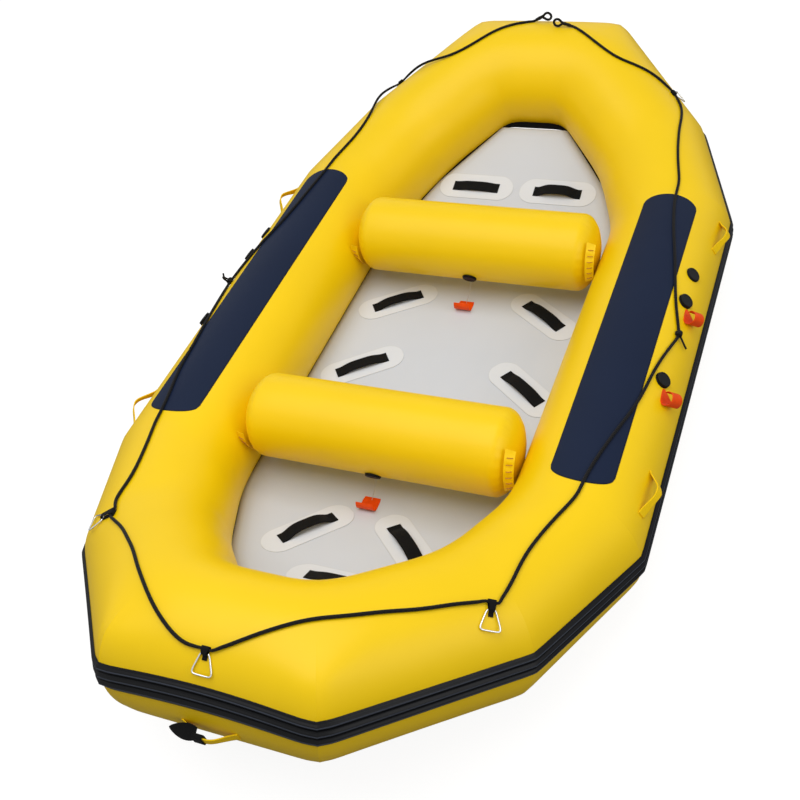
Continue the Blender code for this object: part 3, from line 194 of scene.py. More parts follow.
# Strake: half width in degrees round the tube, points round its section and on its back. Across the section,
# from -1 to 1: the ribs' spacing and half width, and where the thin lip starts. Then the lip's height.
STRAKE_HALF = 9.5
STRAKE_COLUMNS = 46
STRAKE_BACK = 4
RIB_SPACING = 0.62
RIB_HALF = 0.30
STRAKE_EDGE = 0.93
STRAKE_LIP = 0.0008
# Angle of its middle line round the tube: at each row of corners as (stern, bow), and in the middle of the
# sides and ends
STRAKE_CORNERS = ((1.0, 1.0), (2.0, 10.0), (4.0, 19.0))
STRAKE_MIDDLES = {PORT_SIDE: 0.0, STARBOARD_SIDE: 0.0, STERN_END: 5.0, BOW_END: 23.0}

# Wear patches: half length, how much shorter they are at the corners, angle of the middle and half angle
WEAR_HALF_LENGTH = 0.730
WEAR_CORNER = 0.056
WEAR_ANGLE = 86.0
WEAR_HALF_ANGLE = 26.0

# Valves: angles round the hull's tube and round a thwart, and places along the side tubes
VALVE_ANGLE = 45.0
THWART_VALVE_ANGLE = -30.0
VALVE_PLACES = (("relief", 0.345), ("stern", 0.197), ("bow", -0.202))
# Flange and cap: sizes in the frame, the flange's section as (radius, height), and the flutes' step in degrees
FLANGE_RADIUS = 0.030
FLANGE_HEIGHT = 0.004
FLANGE_PROFILE = ((0.021, -0.030), (0.021, 0.0002), (0.0284, 0.0002), (0.0286, 0.0022), (0.0274, 0.0040),
                  (0.0172, 0.0042), (0.0170, 0.0038), (0.0165, -0.002))
CAP_RADIUS = 0.027
CAP_HEIGHT = 0.008
FLUTE_STEP = 30.0
VINYL_THICKNESS = 0.0012
# Side tags: turn toward the bow in degrees, flat run, width, width at the point, and radius of the curl
TAG_HEADING = 60.0
TAG_RUN = 0.048
TAG_WIDTH = 0.058
TAG_POINT = 0.008
TAG_CURL = 0.023
# Floor tags: flat run, radius of the curl, half width, and shift from the middle of the raft
FLOOR_TAG_RUN = 0.036
FLOOR_TAG_CURL = 0.028
FLOOR_TAG_HALF = 0.032
FLOOR_TAG_SHIFT = -0.027

# Handles: half length, height, width, thickness, angle round the tube, places along the sides, and the bow
# handle's own angle and how much lower its arch is
HANDLE_HALF = 0.085
HANDLE_HEIGHT = 0.045
HANDLE_WIDTH = 0.030
HANDLE_THICKNESS = 0.004
HANDLE_ANGLE = 28.0
HANDLE_PLACES = (("bow", -0.640), ("stern", 0.640))
BOW_HANDLE_ANGLE = -5.0
BOW_HANDLE_SAG = 0.007
WEBBING_THICKNESS = 0.0025
# Leaf of the pull tab
LEAF_LENGTH = 0.082
LEAF_HALF = 0.022
LEAF_TILT = 112.0
LEAF_THICKNESS = 0.0030

# Camera: place, (yaw, pitch, roll) in degrees, focal length and picture width in pixels, sensor width in mm
PHOTO_SPOT = (1.3704, -2.7678, 2.9787)
PHOTO_ANGLES = (-30.03, 44.226, -13.257)
PHOTO_FOCUS = 1092.7
PHOTO_WIDTH = 800
SENSOR_WIDTH = 36.0
# Lamps as (name, place, size in metres, watts), all aimed at the middle of the raft
LAMPS = (("overhead", (-0.4, -0.8, 5.2), 5.0, 188.0), ("fill", (5.0, -1.4, 3.2), 3.0, 64.0))
LAMP_TARGET = (0.0, 0.0, 0.2)
# Studio: light that the raft gets from the white surround, the ground's tone, and its glow to the camera
SKY_LIGHT = 0.44
GROUND_TONE = 0.20
GROUND_GLOW = 0.88


# Sizes and colours a user may change

def length_property(title, words, metres):
    return bpy.props.FloatProperty(name=title, description=words, default=metres, unit="LENGTH")


class RaftSizes(bpy.types.PropertyGroup):
    """Sizes of the soft fittings."""
    rib_height: length_property("Rib height", "Height of the rubbing strake's ribs", 0.010)
    patch_length: length_property("Patch length", "Length of a foot strap's patch", 0.340)
    patch_width: length_property("Patch width", "Width of a foot strap's patch", 0.130)
    strap_width: length_property("Strap width", "Width of the foot straps' webbing", 0.050)
    wrinkle: length_property("Wrinkle depth", "Depth of the folds inside the hull's bends", 0.0022)


def colour_property(title, words, hexed):
    return bpy.props.FloatVectorProperty(
        name=title, description=words, subtype="COLOR", size=3, min=0.0, max=1.0, default=linear(hexed))


def linear(hexed):
    """An sRGB hex colour as three linear values."""
    parts = [int(hexed[place:place + 2], 16) / 255 for place in (1, 3, 5)]
    return tuple(part / 12.92 if part <= 0.04045 else ((part + 0.055) / 1.055) ** 2.4 for part in parts)


class RaftColours(bpy.types.PropertyGroup):
    """Colours of the raft's materials."""
    hull: colour_property("Hull", "Coated fabric of the tubes", "#F4CB00")
    patch: colour_property("Wear patch", "Fabric on top of the side tubes", "#141F36")
    floor: colour_property("Floor", "Fabric of the floor", "#CDD1D8")
    strap_patch: colour_property("Strap patch", "Fabric under the foot straps", "#DADDE2")
    rubber: colour_property("Strake", "Rubber round the outside", "#050609")
    webbing: colour_property("Webbing", "Foot straps and keepers", "#08090B")
    rope: colour_property("Grab line", "Braided cord", "#060607")
    handle: colour_property("Handles", "Yellow webbing", "#F5CA00")
    tag: colour_property("Tags", "Orange vinyl", "#F2500C")


# Shapes of curves

def eased(share):
    """A share held between 0 and 1 that starts and ends smoothly."""
    share = max(0.0, min(1.0, share))
    return share * share * (3 - 2 * share)


def swell(distance, width):
    """A smooth hump, 1 in its middle."""
    return math.exp(-(distance / width) ** 2)


def axes_matrix(origin, x_axis, y_axis, z_axis):
    return Matrix.Translation(origin) @ Matrix((x_axis, y_axis, z_axis)).transposed().to_4x4()


def crossways(x_way, y_way, origin=(0.0, 0.0, 0.0)):
    """Frame whose X lies along the parent's Y and whose Y lies along its X, each one way or the other."""
    return axes_matrix(Vector(origin), Vector((0, x_way, 0)), Vector((y_way, 0, 0)), Vector((0, 0, 1)))


# Hull geometry

def hull_corners():
    corners = []
    for side, end in ((1, 1), (-1, 1), (-1, -1), (1, -1)):
        ordered = CORNER_TABLE if side == end else CORNER_TABLE[::-1]
        for x, y, rise, trim in ordered:
            corners.append((Vector((side * x, end * y, TUBE_RADIUS + rise)), trim))
    return corners


CORNERS = hull_corners()


def corner(index):
    return CORNERS[index % len(CORNERS)]


def panel_length(index):
    return (corner(index + 1)[0] - corner(index)[0]).length


def bend_point(index, along, trim):
    """Place and direction on the rounded bend at a corner."""
    middle = corner(index)[0]
    start = middle + trim * (corner(index - 1)[0] - middle).normalized()
    end = middle + trim * (corner(index + 1)[0] - middle).normalized()
    place = (1 - along) ** 2 * start + 2 * along * (1 - along) * middle + along ** 2 * end
    return place, (1 - along) * (middle - start) + along * (end - middle)


@lru_cache(maxsize=None)
def station(index, share, least_trim=0.0):
    """Centre, outward, up and forward directions of the tube at a share of a panel."""
    length = panel_length(index)
    start, start_trim = corner(index)
    end, end_trim = corner(index + 1)
    start_trim = max(start_trim, least_trim)
    end_trim = max(end_trim, least_trim)
    reach = share * length
    if reach < start_trim:
        place, heading = bend_point(index, (1 + reach / start_trim) / 2, start_trim)
    elif length - reach < end_trim:
        place, heading = bend_point(index + 1, (1 - (length - reach) / end_trim) / 2, end_trim)
    else:
        place, heading = start.lerp(end, share), end - start
    forward = heading.normalized()
    outward = Vector((forward.y, -forward.x, 0.0)).normalized()
    return place, outward, outward.cross(forward), forward


def tube_point(index, share, angle, height=0.0, least_trim=0.0):
    """A point on the rounded tube that the frame follows, or a height above it."""
    centre, outward, up, _ = station(index, share, least_trim)
    turn = math.radians(angle)
    return centre + (TUBE_RADIUS + height) * (math.cos(turn) * outward + math.sin(turn) * up)


def seam_point(index, angle, height):
    """A point on the mitred seam at a corner of the hull."""
    middle = corner(index)[0]
    ahead = (corner(index + 1)[0] - middle).normalized()
    _, outward, up, _ = station(index % len(PANELS), 0.0)
    turn = math.radians(angle)
    way = math.cos(turn) * outward + math.sin(turn) * up
    return middle + way * (TUBE_RADIUS + height) / math.sqrt(1 - way.dot(ahead) ** 2)


# Skin: cosines of the angle at which the mitred outer half and the wide inner half begin, the spans over which
# they come in, and how much the mitre is eased at its seam and how far from it
MITRE_FROM, MITRE_SPAN = 0.15, 0.55
WIDE_FROM, WIDE_SPAN = 0.05, 0.60
SEAM_EASE, SEAM_REACH = 0.16, 0.024


def skin(index, share, angle, height=0.0):
    """A point on the hull's skin: the outer half runs straight to its seams, the inner half bends wide."""
    soft = tube_point(index, share, angle, height)
    level = math.cos(math.radians(angle))
    outer = eased((level - MITRE_FROM) / MITRE_SPAN)
    if outer == 0:
        wide = tube_point(index, share, angle, height, WIDE_TRIM)
        return soft.lerp(wide, eased((-level + WIDE_FROM) / WIDE_SPAN))
    near = min(share, 1 - share) * panel_length(index)
    crisp = outer * (1 - SEAM_EASE * swell(near, SEAM_REACH))
    straight = seam_point(index, angle, height).lerp(seam_point(index + 1, angle, height), share)
    return soft.lerp(straight, crisp)


def on_skin(index, share, angle, height):
    """The frame's point moved square to the tube until it lies a height above the skin."""
    spot = tube_point(index, share, angle, height)
    normal = (spot - station(index, share)[0]).normalized()
    return spot + (skin(index, share, angle, height) - spot).dot(normal) * normal


def seat_reach(angle, half_width):
    """Distance from the axis at which the frame's flat pieces are seated."""
    step = math.tau / TUBE_SIDES
    reach = 0.0
    for place in range(-12, 13):
        lean = half_width / TUBE_RADIUS * place / 12
        inside = (math.radians(angle) + lean) % step - step / 2
        reach = max(reach, TUBE_RADIUS * math.cos(step / 2) / math.cos(inside) * math.cos(lean))
    return reach


def tube_frame(index, share, angle, half_width):
    """Frame on the tube: X forward along it, Y up the slope, Z outward."""
    centre, outward, up, forward = station(index, share)
    turn = math.radians(angle)
    normal = math.cos(turn) * outward + math.sin(turn) * up
    origin = centre + seat_reach(angle, half_width) * normal
    return axes_matrix(origin, forward, normal.cross(forward), normal)


def side_share(index, y):
    return (y - corner(index)[0].y) / (corner(index + 1)[0].y - corner(index)[0].y)


def panel_shares(index, bend_steps, straight_steps):
    """Shares of a panel, close together where it bends."""
    length = panel_length(index)
    first = WIDE_TRIM / length
    last = 1 - WIDE_TRIM / length
    shares = [first * (step / bend_steps) ** 1.6 for step in range(bend_steps)]
    shares += [first + (last - first) * step / straight_steps for step in range(straight_steps)]
    shares += [1 - (1 - last) * (1 - step / bend_steps) ** 1.6 for step in range(bend_steps + 1)]
    return shares


# Floor geometry

def floor_edge(y):
    """Centre of the floor's port edge, with its breaks eased, at a place along the raft."""
    def plain(at):
        at = max(FLOOR_EDGE[0][1], min(FLOOR_EDGE[-1][1], at))
        for first, second in zip(FLOOR_EDGE, FLOOR_EDGE[1:]):
            if at <= second[1]:
                return Vector(first).lerp(Vector(second), (at - first[1]) / (second[1] - first[1]))
    ease = min(0.030, abs(FLOOR_EDGE[-1][1]) - abs(y))
    if ease <= 0:
        return plain(y)
    return (plain(y - ease) + 2 * plain(y) + plain(y + ease)) / 4


def deck_point(x, y, height=0.0):
    return Vector((x, y, floor_edge(y).z + FLOOR_RADIUS + height))


def edge_outward(y):
    """Level direction square to the floor's port edge."""
    ahead = floor_edge(min(y + 0.012, FLOOR_EDGE[-1][1]))
    behind = floor_edge(max(y - 0.012, FLOOR_EDGE[0][1]))
    run = ahead - behind
    return Vector((run.y, -run.x, 0.0)).normalized()


def strap_place(across, along, heading):
    """Frame of a foot strap on the deck, X along the strap."""
    y = along * FLOOR_EDGE[-1][1]
    x = across * floor_edge(y).x
    step = 0.03
    slope = (floor_edge(y + step).z - floor_edge(y - step).z) / (2 * step)
    normal = Vector((0.0, -slope, 1.0)).normalized()
    turn = math.radians(heading)
    run = Vector((math.cos(turn), math.sin(turn), 0.0))
    run = (run - run.dot(normal) * normal).normalized()
    return axes_matrix(deck_point(x, y), run, normal.cross(run), normal)


# Making meshes

def start(add, name, **settings):
    """Adds a primitive as the only selected object and names it."""
    bpy.ops.object.select_all(action="DESELECT")
    add(**settings)
    made = bpy.context.object
    made.name = name
    made.data.name = name
    return made


def select_only(made):
    bpy.ops.object.select_all(action="DESELECT")
    made.select_set(True)
    bpy.context.view_layer.objects.active = made


def close_seams(made, threshold=0.00002):
    """Merges points that meet and turns the faces outward."""
    select_only(made)
    bpy.ops.object.mode_set(mode="EDIT")
    bpy.ops.mesh.select_all(action="SELECT")
    bpy.ops.mesh.remove_doubles(threshold=threshold)
    bpy.ops.mesh.delete_loose()
    bpy.ops.mesh.select_all(action="SELECT")
    bpy.ops.mesh.normals_make_consistent(inside=False)
    bpy.ops.object.mode_set(mode="OBJECT")


def modify(made, kind, **settings):
    """Adds a modifier and applies it."""
    step = made.modifiers.new(kind.lower(), kind)
    for name, value in settings.items():
        setattr(step, name, value)
    select_only(made)
    bpy.ops.object.modifier_apply(modifier=step.name)


def rolled(name, columns, rows, place, measure=None):
    """A flat grid laid out along a form: place gives each point, measure its UV in metres."""
    made = start(bpy.ops.mesh.primitive_grid_add, name, x_subdivisions=columns, y_subdivisions=rows, size=1.0)
    mesh = made.data
    flat = [(vertex.co.x + 0.5, vertex.co.y + 0.5) for vertex in mesh.vertices]
    for vertex, (u, v) in zip(mesh.vertices, flat):
        vertex.co = place(u, v)
    layer = mesh.uv_layers[0].data
    for loop in mesh.loops:
        u, v = flat[loop.vertex_index]
        layer[loop.index].uv = measure(u, v) if measure else (u, v)
    return made


def sheet(name, columns, rows, place, measure, thickness, offset=0.0):
    """A rolled form with its seams closed and a thickness: inward at offset -1, to both sides at 0."""
    made = rolled(name, columns, rows, place, measure)
    close_seams(made)
    modify(made, "SOLIDIFY", thickness=thickness, offset=offset)
    return made


def even_line(points, spacing, closed=False):
    """Evenly spaced points on a smooth curve through the given ones."""
    count = len(points)
    spans = count if closed else count - 1
    dense = []
    for place in range(spans):
        around = []
        for step in (-1, 0, 1, 2):
            at = (place + step) % count if closed else max(0, min(count - 1, place + step))
            around.append(points[at])
        a, b, c, d = around
        steps = max(2, math.ceil((c - b).length / spacing * 2))
        for step in range(steps):
            t = step / steps
            dense.append(0.5 * (2 * b + t * (c - a) + t * t * (2 * a - 5 * b + 4 * c - d)
                                + t ** 3 * (3 * b - a - 3 * c + d)))
    dense.append(points[0] if closed else points[-1])
    gone = [0.0]
    for first, second in zip(dense, dense[1:]):
        gone.append(gone[-1] + (second - first).length)
    pieces = max(3, round(gone[-1] / spacing))
    line = []
    at = 0
    for step in range(pieces if closed else pieces + 1):
        want = gone[-1] * step / pieces
        while at < len(gone) - 2 and gone[at + 1] < want:
            at += 1
        span = gone[at + 1] - gone[at]
        line.append(dense[at].lerp(dense[at + 1], (want - gone[at]) / span if span else 0.0))
    return line


def swept(name, line, radius, sides, closed=False):
    """A round cord or wire along a line, its ends closed. radius is a number or a function of the share."""
    count = len(line)
    heads = []
    for place in range(count):
        after = line[(place + 1) % count] if closed or place < count - 1 else line[place]
        before = line[place - 1] if closed or place else line[place]
        heads.append((after - before).normalized())
    across = heads[0].orthogonal().normalized()
    frames = []
    for head in heads:
        across = (across - across.dot(head) * head).normalized()
        frames.append((across.copy(), head.cross(across)))
    twist = 0.0
    if closed:
        last, first = frames[-1][0], frames[0][0]
        turned = (last - last.dot(heads[0]) * heads[0]).normalized()
        twist = math.atan2(turned.cross(first).dot(heads[0]), turned.dot(first))
    order = list(range(count))
    order = order + [0] if closed else [0, 0] + order + [count - 1, count - 1]
    sizes = [1.0] * len(order) if closed else [0.0, 0.7] + [1.0] * count + [0.7, 0.0]
    rows = len(order) - 1
    length = sum((b - a).length for a, b in zip(line, line[1:]))

    def place(u, v):
        row = round(v * rows)
        at = order[row]
        thick = radius(at / (count - 1)) if callable(radius) else radius
        turn = math.tau * u + (twist * row / rows if closed and row < rows else 0.0)
        one, two = frames[at]
        return line[at] + thick * sizes[row] * (math.cos(turn) * one + math.sin(turn) * two)

    made = rolled(name, sides, rows, place, lambda u, v: (u, v * length))
    close_seams(made)
    return made


def banded(name, place, path, widths, thickness, across=6):
    """Flat webbing or vinyl along (x, z) points in a frame; widths holds (y low, y high) pairs."""
    gone = [0.0]
    for (x0, z0), (x1, z1) in zip(path, path[1:]):
        gone.append(gone[-1] + math.hypot(x1 - x0, z1 - z0))
    rows = len(path) - 1

    def point(u, v):
        row = round(v * rows)
        low, high = widths[row]
        x, z = path[row]
        return place @ Vector((x, low + u * (high - low), z))

    def measure(u, v):
        row = round(v * rows)
        low, high = widths[row]
        return low + u * (high - low), gone[row] - gone[-1] / 2

    made = rolled(name, across, rows, point, measure)
    modify(made, "SOLIDIFY", thickness=thickness, offset=0.0, use_even_offset=True)
    modify(made, "BEVEL", width=thickness * 0.22, segments=2, limit_method="ANGLE",
           angle_limit=math.radians(50))
    return made


def turned(name, place, profile, sides):
    """A disc drawn up ring by ring: profile holds (radius, height) from the bottom up."""
    radius, height = profile[0]
    spot = place @ Vector((0.0, 0.0, height))
    made = start(bpy.ops.mesh.primitive_circle_add, name, vertices=sides, radius=radius, fill_type="NGON",
                 location=spot, rotation=place.to_euler())
    normal = place.to_3x3().col[2]
    bpy.ops.object.mode_set(mode="EDIT")
    bpy.ops.mesh.select_all(action="SELECT")
    for (before, low), (after, high) in zip(profile, profile[1:]):
        bpy.ops.mesh.extrude_region_move(TRANSFORM_OT_translate={"value": (high - low) * normal})
        middle = place @ Vector((0.0, 0.0, high))
        bpy.ops.transform.resize(value=(after / before,) * 3, center_override=middle)
    bpy.ops.mesh.select_all(action="SELECT")
    bpy.ops.mesh.normals_make_consistent(inside=False)
    bpy.ops.object.mode_set(mode="OBJECT")
    return made


def settle(made, finish, nodes=(), body="raft", smooth=40.0):
    """Gives a piece its material, its place in the mesh and its body, and hides the nodes it stands for."""
    made.data.materials.clear()
    made.data.materials.append(bpy.data.materials[finish])
    select_only(made)
    bpy.ops.object.transform_apply(location=True, rotation=True, scale=True)
    bpy.ops.object.shade_smooth_by_angle(angle=math.radians(smooth))
    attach(made, body)
    if nodes:
        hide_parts(*nodes)


def joined(first, *others):
    """Joins pieces into the first."""
    select_only(first)
    for other in others:
        other.select_set(True)
    bpy.ops.object.join()
    return first


# Materials


def add_node(tree, kind, inputs=None, **settings):
    """Adds a shader node with its settings; inputs holds values or the sockets they come from."""
    made = tree.nodes.new("ShaderNode" + kind)
    for name, value in settings.items():
        setattr(made, name, value)
    for key, value in (inputs or {}).items():
        if isinstance(value, bpy.types.NodeSocket):
            tree.links.new(value, made.inputs[key])
        else:
            made.inputs[key].default_value = value
    return made


def new_material(name, roughness, **extra):
    made = bpy.data.materials.new(name)
    made.use_nodes = True
    tree = made.node_tree
    shader = tree.nodes["Principled BSDF"]
    shader.inputs["Roughness"].default_value = roughness
    for key, value in extra.items():
        shader.inputs[key.replace("_", " ")].default_value = value
    return tree, shader


def shade(colour, factor=1.0):
    """A linear colour made darker or lighter, with its alpha."""
    return (*[part * factor for part in colour], 1.0)


def two_tone(name, roughness, dark, light, texture, **extra):
    """A material between two tones along a texture, given as (kind, coordinates, inputs, settings)."""
    tree, shader = new_material(name, roughness, **extra)
    kind, coords, inputs, settings = texture
    spots = add_node(tree, "TexCoord")
    grain = add_node(tree, kind, {"Vector": spots.outputs[coords], **inputs}, **settings)
    tone = add_node(tree, "Mix", {"Factor": grain.outputs["Fac"], 6: dark, 7: light}, data_type="RGBA")
    tree.links.new(tone.outputs[2], shader.inputs["Base Color"])
    return tree, shader, grain, tone


def woven(tree, coords, spacing, strength):
    """Bump of a plain weave: threads a spacing apart both ways, in metres."""
    across, along = (add_node(tree, "TexWave", {"Vector": coords, "Scale": 1 / (math.pi * spacing)},
                              wave_type="BANDS", bands_direction=way) for way in "XY")
    both = add_node(tree, "Math", {0: across.outputs["Fac"], 1: along.outputs["Fac"]}, operation="MULTIPLY")
    bump = add_node(tree, "Bump", {"Height": both.outputs[0], "Strength": strength, "Distance": spacing / 6})
    return both, bump


def fabric_material(name, colour, roughness, spacing, weave, drift, edge=None, shine=0.28):
    """Coated fabric: slow drift of colour, fine weave under the coat, and a darker rim where edge is given."""
    tree, shader = new_material(name, roughness, Specular_IOR_Level=shine)
    spots = add_node(tree, "TexCoord")
    noise = add_node(tree, "TexNoise", {"Vector": spots.outputs["Object"], "Scale": 2.4, "Detail": 3.0})
    tone = add_node(tree, "ValToRGB", {"Fac": noise.outputs["Fac"]})
    tone.color_ramp.elements[0].position = 0.30
    tone.color_ramp.elements[1].position = 0.70
    tone.color_ramp.elements[0].color = shade(colour, 1.0 - drift)
    tone.color_ramp.elements[1].color = shade(colour, 1.0)
    last = tone.outputs["Color"]
    # The darker rim: on the floor it is painted shade with painted yellow bounce light from the tubes.
    if edge:
        width, rim = edge
        apart = add_node(tree, "SeparateXYZ", {0: spots.outputs["UV"]})
        near = add_node(tree, "Math", {0: apart.outputs[0], 1: apart.outputs[1]}, operation="MINIMUM")
        band = add_node(tree, "MapRange", {"Value": near.outputs[0], "From Max": width})
        mixed = add_node(tree, "Mix", {"Factor": band.outputs[0], 6: shade(rim), 7: last}, data_type="RGBA")
        last = mixed.outputs[2]
    tree.links.new(last, shader.inputs["Base Color"])
    _, bump = woven(tree, spots.outputs["Object" if edge else "UV"], spacing, weave)
    slow = add_node(tree, "TexNoise", {"Vector": spots.outputs["Object"], "Scale": 9.0, "Detail": 1.0})
    wave = add_node(tree, "Bump", {"Height": slow.outputs["Fac"], "Strength": 0.25, "Distance": 0.004,
                                   "Normal": bump.outputs[0]})
    tree.links.new(wave.outputs[0], shader.inputs["Normal"])


def webbing_material(name, colour, contrast, shine):
    """Nylon webbing: a plain weave 2.4 mm apart with a dull sheen."""
    tree, shader = new_material(name, 0.80, Sheen_Weight=0.03, Sheen_Roughness=0.5, Specular_IOR_Level=shine)
    spots = add_node(tree, "TexCoord")
    both, bump = woven(tree, spots.outputs["UV"], 0.0024, contrast)
    tone = add_node(tree, "Mix", {"Factor": both.outputs[0], 6: shade(colour, 1 - contrast / 2),
                                  7: shade(colour, 1 + contrast / 2)}, data_type="RGBA")
    tree.links.new(tone.outputs[2], shader.inputs["Base Color"])
    tree.links.new(bump.outputs[0], shader.inputs["Normal"])


def make_materials():
    colours = bpy.context.scene.raft_colours
    # Calendered PVC on polyester: even, softly glossy, with the threads just showing under the coat.
    fabric_material("pvc_coated_fabric_glossy", colours.hull, roughness=0.42, spacing=0.0030, weave=0.06,
                    drift=0.05)
    # The same fabric in navy with a duller face and a glued, darker rim 6 mm wide.
    fabric_material("pvc_coated_fabric_navy", colours.patch, roughness=0.55, spacing=0.0030, weave=0.15,
                    drift=0.12, edge=(0.006, linear("#0B1018")), shine=0.10)
    # Drop-stitch fabric, matt, with painted shade and painted yellow bounce light: a darker, slightly warm rim
    # 90 mm wide where it meets the tubes.
    fabric_material("drop_stitch_floor_fabric", colours.floor, roughness=0.60, spacing=0.0040, weave=0.15,
                    drift=0.04, edge=(0.090, linear("#C2C1C0")))
    # Heavier coated fabric, paler than the floor under it.
    fabric_material("pale_patch_fabric", colours.strap_patch, roughness=0.58, spacing=0.0030, weave=0.15,
                    drift=0.03, edge=(0.004, linear("#C6C8CA")))
    # Extruded rubber: dark, with a dull shine, painted highlights along the ribs and slight bloom.
    tree, shader, bloom, tone = two_tone(
        "extruded_rubber", 0.30, shade(colours.rubber, 0.75), shade(colours.rubber, 1.3),
        ("TexNoise", "Object", {"Scale": 14.0, "Detail": 4.0}, {}), Specular_IOR_Level=0.14)
    # The crests of the three ribs carry painted highlights, lighter lines 2 mm wide. U runs once round the
    # section.
    spots = add_node(tree, "TexCoord")
    apart = add_node(tree, "SeparateXYZ", {0: spots.outputs["UV"]})
    face = STRAKE_COLUMNS - STRAKE_BACK
    turn = add_node(tree, "Math", {0: apart.outputs[0], 1: 2 * math.tau / RIB_SPACING * STRAKE_COLUMNS / face,
                                   2: -math.tau / RIB_SPACING}, operation="MULTIPLY_ADD")
    wave = add_node(tree, "Math", {0: turn.outputs[0]}, operation="COSINE")
    crest_highlight = add_node(tree, "MapRange", {"Value": wave.outputs[0], "From Min": 0.80, "To Max": 0.75})
    tone = add_node(tree, "Mix", {"Factor": crest_highlight.outputs[0], 6: tone.outputs[2],
                                  7: shade(linear("#4A505C"))}, data_type="RGBA")
    tree.links.new(tone.outputs[2], shader.inputs["Base Color"])
    rough = add_node(tree, "MapRange", {"Value": bloom.outputs["Fac"], "To Min": 0.28, "To Max": 0.42})
    tree.links.new(rough.outputs[0], shader.inputs["Roughness"])
    # Injection-moulded nylon: black with a fine spark-eroded grain of about 1 mm.
    tree, shader, grain, _ = two_tone(
        "moulded_nylon", 0.45, shade(linear("#08090A")), shade(linear("#121315")),
        ("TexNoise", "Object", {"Scale": 900.0, "Detail": 1.0}, {}), Specular_IOR_Level=0.14)
    bump = add_node(tree, "Bump", {"Height": grain.outputs["Fac"], "Strength": 0.2, "Distance": 0.0004})
    tree.links.new(bump.outputs[0], shader.inputs["Normal"])
    # Nylon webbing: deep black and dull on the straps, soft yellow on the handles, with the weave showing.
    webbing_material("nylon_webbing_black", colours.webbing, contrast=0.7, shine=0.12)
    webbing_material("nylon_webbing_yellow", colours.handle, contrast=0.14, shine=0.20)
    # Braided polyester cord: eight strands each way round the line, a strand 2.6 mm long.
    tree, shader = new_material("braided_polyester_cord", 0.70, Sheen_Weight=0.04, Specular_IOR_Level=0.15)
    spots = add_node(tree, "TexCoord")
    apart = add_node(tree, "SeparateXYZ", {0: spots.outputs["UV"]})
    strands = []
    for sign in (1.0, -1.0):
        along = add_node(tree, "Math", {0: apart.outputs[1], 1: sign * 420.0}, operation="MULTIPLY")
        turn = add_node(tree, "Math", {0: apart.outputs[0], 1: 8 * math.pi, 2: along.outputs[0]},
                        operation="MULTIPLY_ADD")
        strands.append(add_node(tree, "Math", {0: turn.outputs[0]}, operation="SINE"))
    braid = add_node(tree, "Math", {0: strands[0].outputs[0], 1: strands[1].outputs[0]},
                     operation="MAXIMUM")
    tone = add_node(tree, "MapRange", {"Value": braid.outputs[0], "From Min": -0.2})
    mixed = add_node(tree, "Mix", {"Factor": tone.outputs[0], 6: shade(colours.rope, 0.5),
                                   7: shade(colours.rope, 1.9)}, data_type="RGBA")
    tree.links.new(mixed.outputs[2], shader.inputs["Base Color"])
    bump = add_node(tree, "Bump", {"Height": braid.outputs[0], "Strength": 0.8, "Distance": 0.0008})
    tree.links.new(bump.outputs[0], shader.inputs["Normal"])
    # Soft vinyl: bright, smooth, a little darker where it has been handled.
    two_tone("soft_vinyl_orange", 0.42, shade(colours.tag, 0.75), shade(colours.tag, 1.15),
             ("TexNoise", "Object", {"Scale": 45.0, "Detail": 3.0}, {}), Specular_IOR_Level=0.16)
    # Twisted nylon thread, pale and half clear to the eye, and the amber lacing of the seat tubes' ends: the
    # twist shows as fine bands 1 mm apart.
    for name, dark, light in (("twisted_nylon_thread", "#A9AAA4", "#C6C7C2"),
                              ("twisted_lacing_amber", "#A8660C", "#CF8A14")):
        two_tone(name, 0.45, shade(linear(dark)), shade(linear(light)),
                 ("TexWave", "UV", {"Scale": 320.0}, {"wave_type": "BANDS", "bands_direction": "DIAGONAL"}))
    # Drawn and polished stainless wire: bright with faint lines along it.
    two_tone("polished_stainless_wire", 0.20, shade(linear("#B9BABC")), shade(linear("#E6E6E4")),
             ("TexNoise", "Object", {"Scale": 260.0, "Detail": 2.0}, {}), Metallic=1.0)


# Hull and what lies on it

def hull_panel(index, wrinkle):
    """Blown-up tube panel with soft folds inside its bends."""
    name = PANELS[index]
    shares = panel_shares(index, bend_steps=12, straight_steps=24 if name.startswith("side") else 6)
    rows = len(shares) - 1
    length = panel_length(index)

    def place(u, v):
        share = shares[round(v * rows)]
        angle = 360.0 * u
        inside = max(0.0, -math.cos(math.radians(angle)))
        near = min(share, 1 - share) * length
        fold = wrinkle * inside ** 3 * swell(near, FOLD_REACH)
        ripple = 0.5 + 0.5 * math.cos(math.radians(angle * FOLDS_ROUND))
        return skin(index, share, angle, -fold * (0.4 + 0.6 * ripple))

    made = sheet("panel_" + name, 96, rows, place,
                 lambda u, v: (u * math.tau * TUBE_RADIUS, shares[round(v * rows)] * length),
                 FABRIC_THICKNESS, offset=-1.0)
    settle(made, "pvc_coated_fabric_glossy", ["hull_" + name])


def corner_strake_angle(place):
    """Angle of the strake's middle line at a corner of the hull: it climbs at the bow."""
    row = min(range(len(CORNER_TABLE)), key=lambda at: abs(abs(place.x) - CORNER_TABLE[at][0]))
    return STRAKE_CORNERS[row][0 if place.y > 0 else 1]


def strake_angle(index, share):
    """Angle of the strake's middle line round the tube."""
    first, second = (corner_strake_angle(corner(index + step)[0]) for step in (0, 1))
    middle = STRAKE_MIDDLES.get(index)
    if middle is None:
        return first + share * (second - first)
    return first + (middle - first) * math.sin(math.pi * share)


